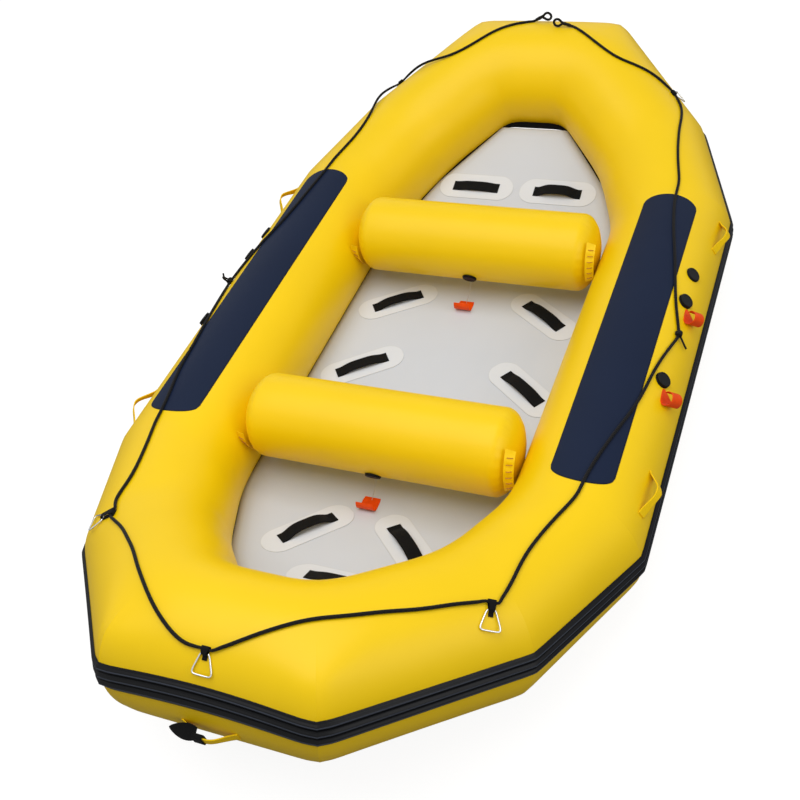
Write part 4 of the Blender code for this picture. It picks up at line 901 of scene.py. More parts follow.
def strake_height(across, rib):
    """Height of the strake's section: three narrow ribs between wide grooves."""
    valley = rib * 0.30
    if abs(across) > STRAKE_EDGE:
        return STRAKE_LIP + (valley - STRAKE_LIP) * (1 - (abs(across) - STRAKE_EDGE) / (1 - STRAKE_EDGE))
    nearest = min(abs(across - middle) for middle in (-RIB_SPACING, 0.0, RIB_SPACING))
    return valley + (rib - valley) * math.cos(math.pi / 2 * min(1.0, nearest / RIB_HALF)) ** 2


def rubbing_strake(rib):
    """Ribbed strip round the widest line of the hull."""
    places = []
    for index in range(len(PANELS)):
        for share in panel_shares(index, bend_steps=9, straight_steps=16)[:-1]:
            places.append((index, share))
    rows = len(places)
    face = STRAKE_COLUMNS - STRAKE_BACK

    def place(u, v):
        index, share = places[round(v * rows) % rows]
        column = round(u * STRAKE_COLUMNS) % STRAKE_COLUMNS
        across = min(1.0, -1.0 + 2.0 * column / face)
        height = strake_height(across, rib)
        if column > face:
            across = 1.0 - 2.0 * (column - face) / STRAKE_BACK
            height = SEAT_GAP
        return skin(index, share, strake_angle(index, share) + STRAKE_HALF * across, height)

    made = rolled("ribbed_strake", STRAKE_COLUMNS, rows, place)
    close_seams(made)
    settle(made, "extruded_rubber", ["rubbing_strake"], smooth=50.0)


def wear_patch(side, index):
    """Fabric sheet with rounded ends that lies on top of a side tube."""
    half_width = math.radians(WEAR_HALF_ANGLE) * TUBE_RADIUS

    def spot(u, v):
        across = 2 * v - 1
        reach = WEAR_HALF_LENGTH - WEAR_CORNER * (1 - math.sqrt(1 - min(1.0, across * across)))
        return across, reach, (2 * u - 1) * reach

    def place(u, v):
        across, _, y = spot(u, v)
        return on_skin(index, side_share(index, y), WEAR_ANGLE + WEAR_HALF_ANGLE * across, PATCH_THICKNESS)

    def measure(u, v):
        across, reach, y = spot(u, v)
        return reach - abs(y), (1 - abs(across)) * half_width

    made = sheet("wear_sheet_" + side, 160, 40, place, measure, PATCH_THICKNESS, offset=-1.0)
    settle(made, "pvc_coated_fabric_navy", ["wear_patch_" + side])


# Floor

def floor_section(y, turn_share):
    """A point round the floor's section, from the starboard edge over the top, port edge and underside."""
    edge = floor_edge(y)
    quarter = turn_share * 4
    if quarter < 1:
        return Vector((-edge.x + 2 * edge.x * quarter, y, edge.z + FLOOR_RADIUS))
    if 2 <= quarter < 3:
        return Vector((edge.x - 2 * edge.x * (quarter - 2), y, edge.z - FLOOR_RADIUS))
    side = 1 if quarter < 2 else -1
    turn = math.radians(90.0 - 180.0 * (quarter - 1) if quarter < 2 else -90.0 + 180.0 * (quarter - 3))
    reach = FLOOR_RADIUS * math.cos(turn) * edge_outward(y)
    return Vector((side * (edge.x + reach.x), y + reach.y, edge.z + FLOOR_RADIUS * math.sin(turn)))


def floor_pad():
    """Raised drop-stitch floor with round edges and closed ends."""
    end = FLOOR_EDGE[-1][1]
    columns, rows = 96, 120

    def place(u, v):
        return floor_section(-end + 2 * end * v, (u * columns % columns) / columns)

    # UV in metres from the floor's edges; the floor's painted shade near the tubes follows it.
    def measure(u, v):
        y = -end + 2 * end * v
        return max(0.0, floor_edge(y).x + FLOOR_RADIUS - abs(place(u, v).x)), end + FLOOR_RADIUS - abs(y)

    body = rolled("floor_pad", columns, rows, place, measure)
    caps = []
    for sign in (-1, 1):
        def cap(u, v, sign=sign):
            starboard = floor_section(sign * end, (4 - v) / 4 if v > 0 else 0.0)
            port = Vector((-starboard.x, starboard.y, starboard.z))
            if v == 0:
                port = floor_section(sign * end, 0.25)
                starboard = Vector((-port.x, port.y, port.z))
            return starboard.lerp(port, u)
        caps.append(rolled("floor_end", 24, 24, cap, lambda u, v: (0.03, 0.02)))
    made = joined(body, *caps)
    close_seams(made, 0.0001)
    settle(made, "drop_stitch_floor_fabric", ["floor_panel"], smooth=55.0)


def laced_strip_and_gap_shade():
    """Black laced strip that closes the groove between the floor and the tubes; its black also stands in for
    the shade in the gap, as painted shade.
    """
    end = FLOOR_EDGE[-1][1]
    steps, ends = 60, 8
    spots = []
    for step in range(steps + 1):
        y = -end + 2 * end * step / steps
        edge = floor_edge(y)
        spots.append((Vector((edge.x, y, edge.z)), edge_outward(y)))

    def across_end(way):
        corner_x, _, z = spots[-1 if way > 0 else 0][0]
        return [(Vector((way * corner_x * (1 - 2 * step / ends), way * end, z)), Vector((0, way, 0)))
                for step in range(1, ends)]

    mirrored = [(Vector((-centre.x, centre.y, centre.z)), Vector((-out.x, out.y, 0)))
                for centre, out in reversed(spots)]
    loop = spots + across_end(1) + mirrored + across_end(-1)
    rows = len(loop)
    axis = [station(index, step / 24)[0] for index in range(len(PANELS)) for step in range(24)]
    rise = math.radians(GAP_STRIP_ON_FLOOR)
    strip = []
    for centre, outward in loop:
        inner = centre + FLOOR_RADIUS * (math.cos(rise) * outward + Vector((0, 0, math.sin(rise))))
        near = min(axis, key=lambda at: (at - inner).length)
        outer = near + (inner - near) * (TUBE_RADIUS / (near - inner).length)
        strip.append((inner - 0.002 * outward, inner.lerp(outer, 1.06)))

    def place(u, v):
        inner, outer = strip[round(v * rows) % rows]
        sag = 0.004 * math.sin(math.pi * u)
        return inner.lerp(outer, u) - Vector((0, 0, sag))

    # Its black is partly painted shade for the dark gap between the floor and the tubes.
    made = sheet("laced_strip_and_gap_shade", 4, rows, place, None, FABRIC_THICKNESS)
    settle(made, "nylon_webbing_black")


# Thwarts

def thwart_tube(end, y):
    """Seat tube with domed ends and a welded seam round each."""
    dome = 14
    profile = []
    for step in range(dome + 1):
        turn = math.radians(90.0 * step / dome)
        seam = 0.0016 * swell(step - 7.0, 0.7)
        profile.append((THWART_RADIUS * math.sin(turn) + seam, -THWART_STRAIGHT - THWART_DOME * math.cos(turn)))
    middle = [(THWART_RADIUS, -THWART_STRAIGHT + 2 * THWART_STRAIGHT * step / 12) for step in range(1, 12)]
    profile = profile + middle + [(radius, -x) for radius, x in reversed(profile)]
    rows = len(profile) - 1

    def place(u, v):
        radius, x = profile[round(v * rows)]
        turn = math.tau * u
        pucker = 0.0010 * math.cos(PUCKERS_ROUND * turn)
        pucker *= swell(abs(x) - THWART_STRAIGHT - PUCKER_PAST, PUCKER_REACH)
        radius = radius + pucker if radius > 0.01 else 0.0
        return Vector((x, y + radius * math.cos(turn), THWART_HEIGHT + radius * math.sin(turn)))

    made = rolled("seat_tube_" + end, 96, rows, place,
                  lambda u, v: (u * math.tau * THWART_RADIUS, profile[round(v * rows)][1]))
    close_seams(made)
    settle(made, "pvc_coated_fabric_glossy", ["thwart_" + end])


def end_flap(end, y, side):
    """Fabric flap between a seat tube's end and the side tube, with its row of stitches."""
    name = f"{end}_{'port' if side > 0 else 'starboard'}"

    def point(turn, share, lift=0.0):
        radius = THWART_RADIUS * (0.90 - 0.10 * share) + lift
        z = THWART_HEIGHT + radius * math.sin(turn)
        reach = math.sqrt(max(0.0, TUBE_RADIUS ** 2 - (z - TUBE_RADIUS) ** 2))
        outer = min(CORNER_TABLE[0][0] - reach - 0.002, THWART_STRAIGHT + FLAP_END)
        inner = THWART_STRAIGHT + FLAP_START
        x = inner + (outer - inner) * share
        return Vector((side * x, y - (radius + 0.006 * share) * math.cos(turn), z))

    def place(u, v):
        turn = math.radians(FLAP_LOWEST[side] + FLAP_SPREAD * u)
        return point(turn, v, 0.0015 * math.sin(26 * u) * math.sin(math.pi * v))

    made = sheet("end_flap_" + name, 36, 6, place, lambda u, v: (0.22 * u, 0.05 * v), PATCH_THICKNESS)
    settle(made, "pvc_coated_fabric_glossy")
    stitches = []
    for step in range(6):
        turn = math.radians(FLAP_LOWEST[side] + 8.0 + 10.0 * step)
        run = [point(turn, 0.25, 0.001), point(turn + 0.01, 0.55, 0.004), point(turn + 0.02, 0.85, 0.001)]
        stitches.append(swept("end_lacing_" + name, even_line(run, 0.003), radius=0.0015, sides=8))
    settle(joined(*stitches), "twisted_lacing_amber")


# Foot straps

def strap_patch(name, across, along, heading, length, width):
    """Pale rounded patch that follows the deck."""
    spot = strap_place(across, along, heading)
    flat = length / 2 - width / 2

    def local(u, v):
        x = -length / 2 * math.cos(math.pi * u)
        over = max(0.0, abs(x) - flat)
        half = math.sqrt(max(0.0, (width / 2) ** 2 - over * over))
        return x, (2 * v - 1) * half, half

    def place(u, v):
        x, y, _ = local(u, v)
        at = spot @ Vector((x, y, 0.0))
        return deck_point(at.x, at.y, STRAP_PATCH_LIFT)

    def measure(u, v):
        x, y, half = local(u, v)
        return max(0.0, half - abs(y)), max(0.0, length / 2 - abs(x))

    made = sheet("strap_patch_" + name, 48, 16, place, measure, PATCH_THICKNESS)
    settle(made, "pale_patch_fabric")


def arch_line(half, height, thickness, flat, steps=40):
    """(x, z) points of a strap with flat feet and a rounded arch."""
    path = []
    for step in range(steps + 1):
        x = -half + 2 * half * step / steps
        share = max(0.0, 1 - abs(x) / (half * flat))
        lift = 0.55 * eased(share) + 0.45 * math.sin(math.pi / 2 * share)
        path.append((x, SEAT_GAP + thickness / 2 + lift * (height - thickness)))
    return path


def strap_line(half, height, thickness, steps=40):
    """(x, z) points of a slack strap that rises in one long arc between its sewn feet."""
    path = []
    for step in range(steps + 1):
        x = -half + 2 * half * step / steps
        share = 1 - (x / (half * 0.86)) ** 2
        path.append((x, SEAT_GAP + thickness / 2 + eased(share) * (height - thickness)))
    return path


def foot_strap(name, across, along, heading, height, width):
    """Slack webbing strap over its patch."""
    spot = strap_place(across, along, heading) @ Matrix.Translation((0, 0, STRAP_LIFT))
    path = strap_line(STRAP_HALF, height, WEBBING_THICKNESS)
    made = banded("strap_" + name, spot, path, [(-width / 2, width / 2)] * len(path), WEBBING_THICKNESS)
    settle(made, "nylon_webbing_black", ["foot_strap_" + name])


# Valves and tags

def valve_flange(name, spot, node=None):
    """Flange with a barrel that goes down through the fabric."""
    made = turned(name, spot, FLANGE_PROFILE, 40)
    settle(made, "moulded_nylon", [node] if node else [], smooth=35.0)


def valve_cap(name, spot, node, body, fluted=True):
    """Screw cap with flutes round its rim and a dished top, or a low plain cover."""
    base = SEAT_GAP + FLANGE_HEIGHT + SEAT_GAP
    top = base + (CAP_HEIGHT if fluted else CAP_HEIGHT / 2)
    profile = ((0.0160, base - 0.008), (0.0160, base), (0.0266, base), (CAP_RADIUS, base + 0.0012),
               (CAP_RADIUS, top - 0.0022), (0.0258, top - 0.0006), (0.0215, top), (0.0205, top - 0.0012),
               (0.0060, top - 0.0016))
    made = turned(name, spot, profile, 48)
    if fluted:
        select_only(made)
        bpy.ops.object.mode_set(mode="EDIT")
        bpy.ops.mesh.select_all(action="DESELECT")
        bpy.ops.mesh.select_mode(type="FACE")
        bpy.ops.object.mode_set(mode="OBJECT")
        for face in made.data.polygons:
            local = face.center
            ring = math.hypot(local.x, local.y)
            turn = math.degrees(math.atan2(local.y, local.x)) % FLUTE_STEP
            face.select = ring > CAP_RADIUS * 0.985 and face.area > 1e-6 and turn < FLUTE_STEP / 2
        bpy.ops.object.mode_set(mode="EDIT")
        bpy.ops.mesh.inset(thickness=0.0003, depth=-0.0012)
        bpy.ops.object.mode_set(mode="OBJECT")
    settle(made, "moulded_nylon", [node], body, smooth=35.0)


def side_tag(name, index, y, body):
    """Vinyl tag that hangs by its point below a valve and curls into an open loop."""
    turn = math.radians(TAG_HEADING)
    reach = FLANGE_RADIUS + LOOP_GAP
    angle = VALVE_ANGLE - math.degrees(reach * math.cos(turn) / TUBE_RADIUS)
    spread = TAG_RUN * math.cos(turn) + TAG_WIDTH / 2 * math.sin(turn)
    spot = tube_frame(index, side_share(index, y - reach * math.sin(turn)), angle, spread)
    spot = spot @ Matrix.Rotation(-turn, 4, "Z") @ crossways(-1, 1)
    rest = SEAT_GAP + VINYL_THICKNESS / 2
    path = []
    widths = []
    for step in range(13):
        share = step / 12
        path.append((TAG_RUN * share, rest))
        widths.append(TAG_POINT + (TAG_WIDTH - TAG_POINT) * share ** 0.8)
    for step in range(1, 29):
        bend = math.radians(-90.0 + 10.0 * step)
        flare = 1.0 + 0.06 * step / 28
        path.append((TAG_RUN + TAG_CURL * flare * math.cos(bend),
                     rest + TAG_CURL * (1 + flare * math.sin(bend))))
        widths.append(TAG_WIDTH - 0.020 * (step / 28) ** 1.2)
    made = banded(name.replace("valve_tag", "curled_tag"), spot, path,
                  [(-width / 2, width / 2) for width in widths], VINYL_THICKNESS)
    settle(made, "soft_vinyl_orange", [name], body)


def thwart_valve_frame(y):
    turn = math.radians(THWART_VALVE_ANGLE)
    normal = Vector((0.0, -math.cos(turn), math.sin(turn)))
    across = Vector((1.0, 0.0, 0.0))
    origin = Vector((0.0, y, THWART_HEIGHT)) + THWART_RADIUS * normal
    return axes_matrix(origin, across, normal.cross(across), normal)


def thwart_tag(end, y):
    """Vinyl tag tied to a thwart's valve by a thread and lying half curled on the floor."""
    rim = thwart_valve_frame(y) @ Vector((0.0, -FLANGE_RADIUS - LOOP_GAP, FLANGE_HEIGHT))
    lay = rim.y - 0.012
    curl = lay - FLOOR_TAG_RUN
    deck = deck_point(0.0, curl).z + SEAT_GAP + VINYL_THICKNESS / 2
    path = [(lay + 0.004 - (lay + 0.004 - curl) * step / 6, deck) for step in range(7)]
    for step in range(1, 15):
        bend = math.radians(-90.0 - 9.0 * step)
        path.append((curl + FLOOR_TAG_CURL * math.cos(bend), deck + FLOOR_TAG_CURL * (1 + math.sin(bend))))
    widths = []
    for step in range(len(path)):
        half = FLOOR_TAG_HALF - 0.003 * swell(step, 1.5)
        widths.append((FLOOR_TAG_SHIFT - half, FLOOR_TAG_SHIFT + half))
    made = banded("rolled_tag_" + end, crossways(1, 1), path, widths, VINYL_THICKNESS)
    settle(made, "soft_vinyl_orange", ["thwart_tag_" + end])
    thread = [rim, Vector((-0.012, rim.y - 0.004, (rim.z + deck) / 2)),
              Vector((FLOOR_TAG_SHIFT, lay, deck + 0.004)),
              Vector((FLOOR_TAG_SHIFT, lay - 0.008, deck + 0.0014))]
    made = swept("tag_thread_" + end, even_line(thread, 0.004), radius=0.0008, sides=8)
    settle(made, "twisted_nylon_thread")


# Grab line, keepers and rings

def panel_number(kind, starboard):
    words = kind.split()[::-1]
    if "end" not in words:
        words.append("starboard" if starboard else "port")
    return PANELS.index("_".join(words))


def route_place(kind, share, starboard):
    return panel_number(kind, starboard), share if starboard else 1 - share


def route_position(kind, share):
    """Distance from the stern middle along one side."""
    total = 0.0
    for name in PANEL_KINDS:
        length = panel_length(panel_number(name, False))
        if name == kind:
            return total + share * length
        total += length


def route_at(position, starboard):
    for kind in PANEL_KINDS:
        length = panel_length(panel_number(kind, False))
        if position <= length:
            return route_place(kind, position / length, starboard)
        position -= length


def route_angle(route, position):
    """Angle round the tube on a smooth curve through the route's points."""
    for place in range(len(route) - 1):
        begin, end = route[place], route[place + 1]
        if begin[0] <= position <= end[0]:
            before = route[max(place - 1, 0)]
            after = route[min(place + 2, len(route) - 1)]
            span = end[0] - begin[0]
            leave = (end[1] - before[1]) / (end[0] - before[0]) * span
            arrive = (after[1] - begin[1]) / (after[0] - begin[0]) * span
            t = (position - begin[0]) / span
            return ((2 * t ** 3 - 3 * t ** 2 + 1) * begin[1] + (t ** 3 - 2 * t ** 2 + t) * leave
                    + (3 * t ** 2 - 2 * t ** 3) * end[1] + (t ** 3 - t ** 2) * arrive)
    return route[-1][1]


def side_keepers(starboard):
    return STERN_KEEPER, BOW_STARBOARD_KEEPER if starboard else BOW_PORT_KEEPER, END_KEEPER


def keeper_spread(keeper):
    turn = math.radians(abs(keeper[4]))
    return (keeper[3] / 2 + KEEPER_THICKNESS) * math.cos(turn) + KEEPER_WIDTH / 2 * math.sin(turn)


def keeper_frame(keeper, starboard):
    """Frame of a keeper on the tube, its minus Y axis along the ring."""
    kind, share, angle, _, lean = keeper
    index, place = route_place(kind, share, starboard)
    turn = math.radians(lean if starboard else -lean)
    return tube_frame(index, place, angle, keeper_spread(keeper)) @ Matrix.Rotation(turn, 4, "Z")


def wire_in_keeper(length):
    return LOOP_GAP + WIRE_RADIUS - length / 2


def rope_line(starboard):
    """The grab line's middle from the stern eye to the bow middle on one side."""
    keepers = side_keepers(starboard)
    table = GRAB_STARBOARD if starboard else GRAB_PORT
    held = [(route_position(keeper[0], keeper[1]), keeper[2]) for keeper in keepers]
    route = sorted([(route_position(kind, share), angle) for kind, share, angle in table] + held)
    begin, end = route[0][0], held[-1][0]
    steps = round((end - begin) / ROPE_STEP)
    guide = KEEPER_WIDTH / 2 + 2 * ROPE_RADIUS
    knot = route_position(*KNOT_PLACE)
    entries = []
    for step in range(steps):
        position = begin + (end - begin) * step / steps
        if min(abs(position - at) for at, _ in held) < guide + KEEPER_MARGIN:
            continue
        index, share = route_at(position, starboard)
        angle = route_angle(route, position) + 0.08 * math.sin(position * 31.0)
        height = ROPE_RADIUS + ROPE_CLEAR
        # The starboard line stands slack on both sides of the stern keeper.
        if starboard:
            height += 0.018 * swell(abs(position - held[0][0]) - 0.11, 0.06)
        entries.append([position, on_skin(index, share, angle, height), station(index, share),
                        abs(position - knot) < 0.03])
    side = -1 if starboard else 1
    for keeper, (at, _) in zip(keepers, held):
        for sign in (-1, 0, 1):
            if keeper is END_KEEPER and sign > 0:
                continue
            local = Vector((-side * sign * guide, keeper[3] / 2 - LOOP_GAP - ROPE_RADIUS, ROPE_Z))
            entries.append([at + sign * guide, keeper_frame(keeper, starboard) @ local, None, True])
    entries.sort(key=lambda entry: entry[0])
    for _ in range(6):
        for before, entry, after in zip(entries, entries[1:], entries[2:]):
            if entry[3]:
                continue
            entry[1] = entry[1].lerp((before[1] + after[1]) / 2, 0.5)
            centre, _, _, forward = entry[2]
            radial = entry[1] - centre
            radial -= radial.dot(forward) * forward
            short = TUBE_RADIUS + ROPE_RADIUS + ROPE_REST - radial.length
            if short > 0:
                entry[1] += short * radial.normalized()
    points = [entry[1] for entry in entries]
    top = tube_point(STERN_END, 0.5, 90.0)
    centre = Vector((EYE_MIDDLE + side * EYE_APART, points[0].y, top.z + EYE_RADIUS + ROPE_RADIUS + 0.0013))
    loop = []
    for step in range(13):
        turn = math.radians(-38.0 - 284.0 * step / 12)
        loop.append(centre + EYE_RADIUS * Vector((side * math.cos(turn), 0.0, math.sin(turn))))
    throat = centre + Vector((side * (EYE_RADIUS + 0.010), 0.0, -0.003))
    return [centre + Vector((side * (EYE_RADIUS + 0.006), 0.0, -0.006))] + loop, [throat] + points


def grab_line():
    """Braided cord round the raft in one piece, from eye to eye."""
    port_eye, port = rope_line(False)
    starboard_eye, starboard = rope_line(True)
    whole = port_eye + port + starboard[::-1][1:] + starboard_eye[::-1]
    line = even_line(whole, 0.008)
    holds = [keeper_frame(keeper, starboard) @ Vector((0.0, 0.0, ROPE_Z))
             for starboard in (False, True) for keeper in side_keepers(starboard)]

    def pinched(share):
        at = line[round(share * (len(line) - 1))]
        near = min((at - hold).length for hold in holds)
        return ROPE_RADIUS * (1.06 - 0.30 * swell(near, 0.036))

    made = swept("braided_grab_line", line, pinched, 12)
    settle(made, "braided_polyester_cord", ["grab_line"])
    for side, (first, second, *_) in (("port", port), ("starboard", starboard)):
        sleeve = even_line([first + (first - second) * 0.10, first, second.lerp(first, 0.3)], 0.003)
        made = swept("whipping_" + side, sleeve, lambda share: 0.0072 + 0.0005 * math.sin(share * 60), 14)
        settle(made, "braided_polyester_cord")


def side_knot(side):
    """Knot on the grab line with its tails."""
    index, share = route_at(route_position(*KNOT_PLACE), side == "starboard")
    spot = tube_frame(index, share, KNOT_ANGLE, 0.0) @ Matrix.Translation((0, 0, 0.008))
    turns, length, radius = 2.6, 0.016, 0.0082
    coil = []
    for step in range(40):
        turn = math.tau * turns * step / 39
        coil.append(spot @ Vector((length * (step / 39 - 0.5), radius * math.cos(turn),
                                   radius * math.sin(turn) + 0.001)))
    pieces = [swept("side_knot_" + side, even_line(coil, 0.0025), radius=0.0046, sides=10)]
    for leaves, points in KNOT_TAILS[side]:
        tail = [coil[leaves]] + [spot @ Vector(point) for point in points]
        pieces.append(swept("knot_tail", even_line(tail, 0.004), radius=0.0036, sides=10))
    settle(joined(*pieces), "braided_polyester_cord")


def ring_keeper(name, spot, length):
    """Webbing loop sewn to the hull round the grab line and the ring."""
    half = (length + KEEPER_THICKNESS) / 2
    low = SEAT_GAP + KEEPER_THICKNESS / 2
    high = low + 2 * ROPE_RADIUS + 2 * LOOP_GAP + KEEPER_THICKNESS
    corners = [(-half - 0.014, low), (-half - 0.005, low + 0.0004), (-half, low + 0.004),
               (-half + 0.0015, high - 0.002), (-half + 0.006, high), (0.0, high + 0.0004),
               (half - 0.005, high), (half, high - 0.004), (half, low + 0.005), (half - 0.003, low + 0.0006),
               (half - 0.008, low), (-half + 0.004, low)]
    line = even_line([Vector((y, 0.0, z)) for y, z in corners], 0.0022)
    path = [(point.x, point.z) for point in line]
    widths = []
    for y, z in path:
        wide = KEEPER_NARROW + KEEPER_FLARE * max(0.0, min(1.0, (y + half) / (2 * half)))
        widths.append((-wide / 2, wide / 2))
    made = banded("webbing_keeper_" + name, spot @ crossways(1, -1), path, widths, KEEPER_WEBBING, across=4)
    settle(made, "nylon_webbing_black", ["ring_keeper_" + name])


def ring_tilt(keeper):
    """Angle below the tangent plane at which the ring's free half just clears the round tube."""
    turn = math.radians(keeper[4])
    seat = seat_reach(keeper[2], keeper_spread(keeper))
    outline = []
    for step in range(-4, 5):
        share = step / 4
        outline.append((RING_HALF * share, RING_LENGTH))
        if abs(share) >= 0.5:
            wide = RING_NECK + (RING_HALF - RING_NECK) * abs(share)
            outline.append((math.copysign(wide, share), RING_LENGTH * abs(share)))
    low, high = 0.0, math.pi / 4
    for _ in range(30):
        tilt = (low + high) / 2
        nearest = math.inf
        for x, reach in outline:
            down = reach * math.cos(tilt) - wire_in_keeper(keeper[3])
            slope = down * math.cos(turn) + x * math.sin(turn)
            nearest = min(nearest, math.hypot(seat + WIRE_Z - reach * math.sin(tilt), slope))
        if nearest > TUBE_RADIUS + WIRE_RADIUS + RING_GAP:
            low = tilt
        else:
            high = tilt
    return low


def lashing_ring(name, spot, keeper):
    """Bent wire ring, narrow in its keeper and wide at its free side."""
    hinge = spot @ Matrix.Translation((0.0, wire_in_keeper(keeper[3]), WIRE_Z))
    hinge = hinge @ Matrix.Rotation(ring_tilt(keeper), 4, "X")
    line = even_line([hinge @ Vector((x, y, 0.0)) for x, y in RING_SHAPE], 0.0028, closed=True)
    made = swept("lashing_" + name, line, WIRE_RADIUS, 14, closed=True)
    settle(made, "polished_stainless_wire", [name], name + "_body")


# Handles

def carry_handle(name, spot, height=HANDLE_HEIGHT):
    """Webbing handle with sewn feet, a little narrower on both sides of its middle."""
    path = arch_line(HANDLE_HALF, height, HANDLE_THICKNESS, 0.96)
    widths = []
    for x, _ in path:
        narrow = 0.004 * swell(abs(x) - 0.03, 0.03)
        widths.append((-HANDLE_WIDTH / 2 + narrow, HANDLE_WIDTH / 2 - narrow))
    made = banded("loop_" + name, spot, path, widths, HANDLE_THICKNESS)
    settle(made, "nylon_webbing_yellow", [name])


def pull_tab(spot):
    """Black webbing sleeve round the bow handle with a leaf-shaped tab."""
    reach = HANDLE_WIDTH / 2 + 0.0018
    middle = SEAT_GAP + HANDLE_HEIGHT - 0.009
    loop = [(-reach, -0.0075), (-reach - 0.001, -0.001), (-reach, 0.0040), (-reach / 2, 0.0050), (0.0, 0.0052),
            (reach / 2, 0.0050), (reach, 0.0040), (reach + 0.001, -0.001), (reach, -0.0075), (0.0, -0.0085),
            (-reach + 0.001, -0.0080)]
    line = even_line([Vector((y, 0, middle + z)) for y, z in loop], 0.002)
    path = [(point.x, point.z) for point in line]
    lay = spot @ crossways(1, 1, (-0.020, 0, 0))
    sleeve = banded("pull_sleeve", lay, path, [(-0.016, 0.016)] * len(path), WEBBING_THICKNESS)
    settle(sleeve, "nylon_webbing_black", ["bow_handle_wrap"])

    def place(u, v):
        half = LEAF_HALF * math.sin(math.pi * (0.16 + 0.84 * v) ** 0.80) ** 0.7
        tilt = math.radians(LEAF_TILT)
        side = (2 * u - 1) * half
        return spot @ Vector((-0.030 - LEAF_LENGTH * v, 0.010 + side * math.cos(tilt),
                              middle - 0.008 + side * math.sin(tilt)))

    leaf = sheet("pull_leaf", 10, 24, place, lambda u, v: (0.04 * (u - 0.5), 0.05 * (v - 0.5)), LEAF_THICKNESS)
    settle(leaf, "nylon_webbing_black")


# Stage

def build_stage():
    """White surround that lights softly, ground that glows to the camera and stays dark to the raft, lamps."""
    world = bpy.context.scene.world or bpy.data.worlds.new("studio")
    bpy.context.scene.world = world
    world.use_nodes = True
    tree = world.node_tree
    tree.nodes.clear()
    path = add_node(tree, "LightPath")
    seen = path.outputs["Is Camera Ray"]
    for ray in ("Is Glossy Ray", "Is Transmission Ray"):
        seen = add_node(tree, "Math", {0: seen, 1: path.outputs[ray]}, operation="MAXIMUM").outputs[0]
    level = add_node(tree, "MapRange", {"Value": seen, "To Min": SKY_LIGHT, "To Max": 1.0})
    sky = add_node(tree, "Background", {"Color": (1, 1, 1, 1), "Strength": level.outputs[0]})
    add_node(tree, "OutputWorld", {"Surface": sky.outputs[0]})
    tree, shader = new_material("studio_floor", 0.9)
    shader.inputs["Base Color"].default_value = (GROUND_TONE, GROUND_TONE, GROUND_TONE, 1.0)
    path = add_node(tree, "LightPath")
    glow = add_node(tree, "Math", {0: path.outputs["Is Camera Ray"], 1: GROUND_GLOW}, operation="MULTIPLY")
    shader.inputs["Emission Color"].default_value = (1, 1, 1, 1)
    tree.links.new(glow.outputs[0], shader.inputs["Emission Strength"])
    ground = start(bpy.ops.mesh.primitive_plane_add, "studio_floor", size=60.0, location=(0, 0, -0.002))
    ground.data.materials.append(bpy.data.materials["studio_floor"])
    bpy.ops.object.transform_apply(location=True)
    for name, spot, size, power in LAMPS:
        lamp = bpy.data.lights.new(name, "AREA")
        lamp.energy = power
        lamp.size = size
        made = bpy.data.objects.new(name, lamp)
        made.matrix_world = axes_matrix(Vector(spot), *look_axes(Vector(LAMP_TARGET) - Vector(spot)))
        bpy.context.scene.collection.objects.link(made)
    bpy.context.scene.view_settings.view_transform = "Standard"
    photo_camera()


def look_axes(heading):
    """Right, up and back directions of something that looks along a heading."""
    back = -heading.normalized()
    pole = Vector((0, 1, 0)) if abs(back.z) > 0.95 else Vector((0, 0, 1))
    right = pole.cross(back).normalized()
    return right, back.cross(right), back


def photo_camera():
    """Camera at the viewing angle of the photograph."""
    yaw, pitch, roll = (math.radians(value) for value in PHOTO_ANGLES)
    heading = Vector((math.sin(yaw) * math.cos(pitch), math.cos(yaw) * math.cos(pitch), -math.sin(pitch)))
    level = Vector((math.cos(yaw), -math.sin(yaw), 0.0))
    rise = level.cross(heading)
    right = math.cos(roll) * level + math.sin(roll) * rise
    up = -math.sin(roll) * level + math.cos(roll) * rise
    data = bpy.data.cameras.new("photo_camera")
    data.sensor_width = SENSOR_WIDTH
    data.lens = SENSOR_WIDTH * PHOTO_FOCUS / PHOTO_WIDTH
    made = bpy.data.objects.new("photo_camera", data)
    made.matrix_world = axes_matrix(Vector(PHOTO_SPOT), right, up, -heading)
    bpy.context.scene.collection.objects.link(made)
    bpy.context.scene.camera = made


# Operators

class RAFT_OT_stage(bpy.types.Operator):
    """Sets the pale floor, the soft light and the camera"""
    bl_idname = "raft.stage"
    bl_label = "Stage"

    def execute(self, context):
        build_stage()
        return {"FINISHED"}


class RAFT_OT_materials(bpy.types.Operator):
    """Makes the raft's materials"""
    bl_idname = "raft.materials"
    bl_label = "Materials"

    def execute(self, context):
        make_materials()
        return {"FINISHED"}


class RAFT_OT_hull(bpy.types.Operator):
    """Builds the twelve hull panels"""
    bl_idname = "raft.hull"
    bl_label = "Hull panels"

    def execute(self, context):
        for index in range(len(PANELS)):
            hull_panel(index, context.scene.raft_sizes.wrinkle)
        return {"FINISHED"}


class RAFT_OT_strake(bpy.types.Operator):
    """Builds the ribbed rubbing strake"""
    bl_idname = "raft.strake"
    bl_label = "Rubbing strake"

    def execute(self, context):
        rubbing_strake(context.scene.raft_sizes.rib_height)
        return {"FINISHED"}


class RAFT_OT_wear_patches(bpy.types.Operator):
    """Lays the wear patches on the side tubes"""
    bl_idname = "raft.wear_patches"
    bl_label = "Wear patches"

    def execute(self, context):
        wear_patch("port", PORT_SIDE)
        wear_patch("starboard", STARBOARD_SIDE)
        return {"FINISHED"}


class RAFT_OT_floor(bpy.types.Operator):
    """Builds the raised floor and the strip round it"""
    bl_idname = "raft.floor"
    bl_label = "Floor"

    def execute(self, context):
        floor_pad()
        laced_strip_and_gap_shade()
        return {"FINISHED"}


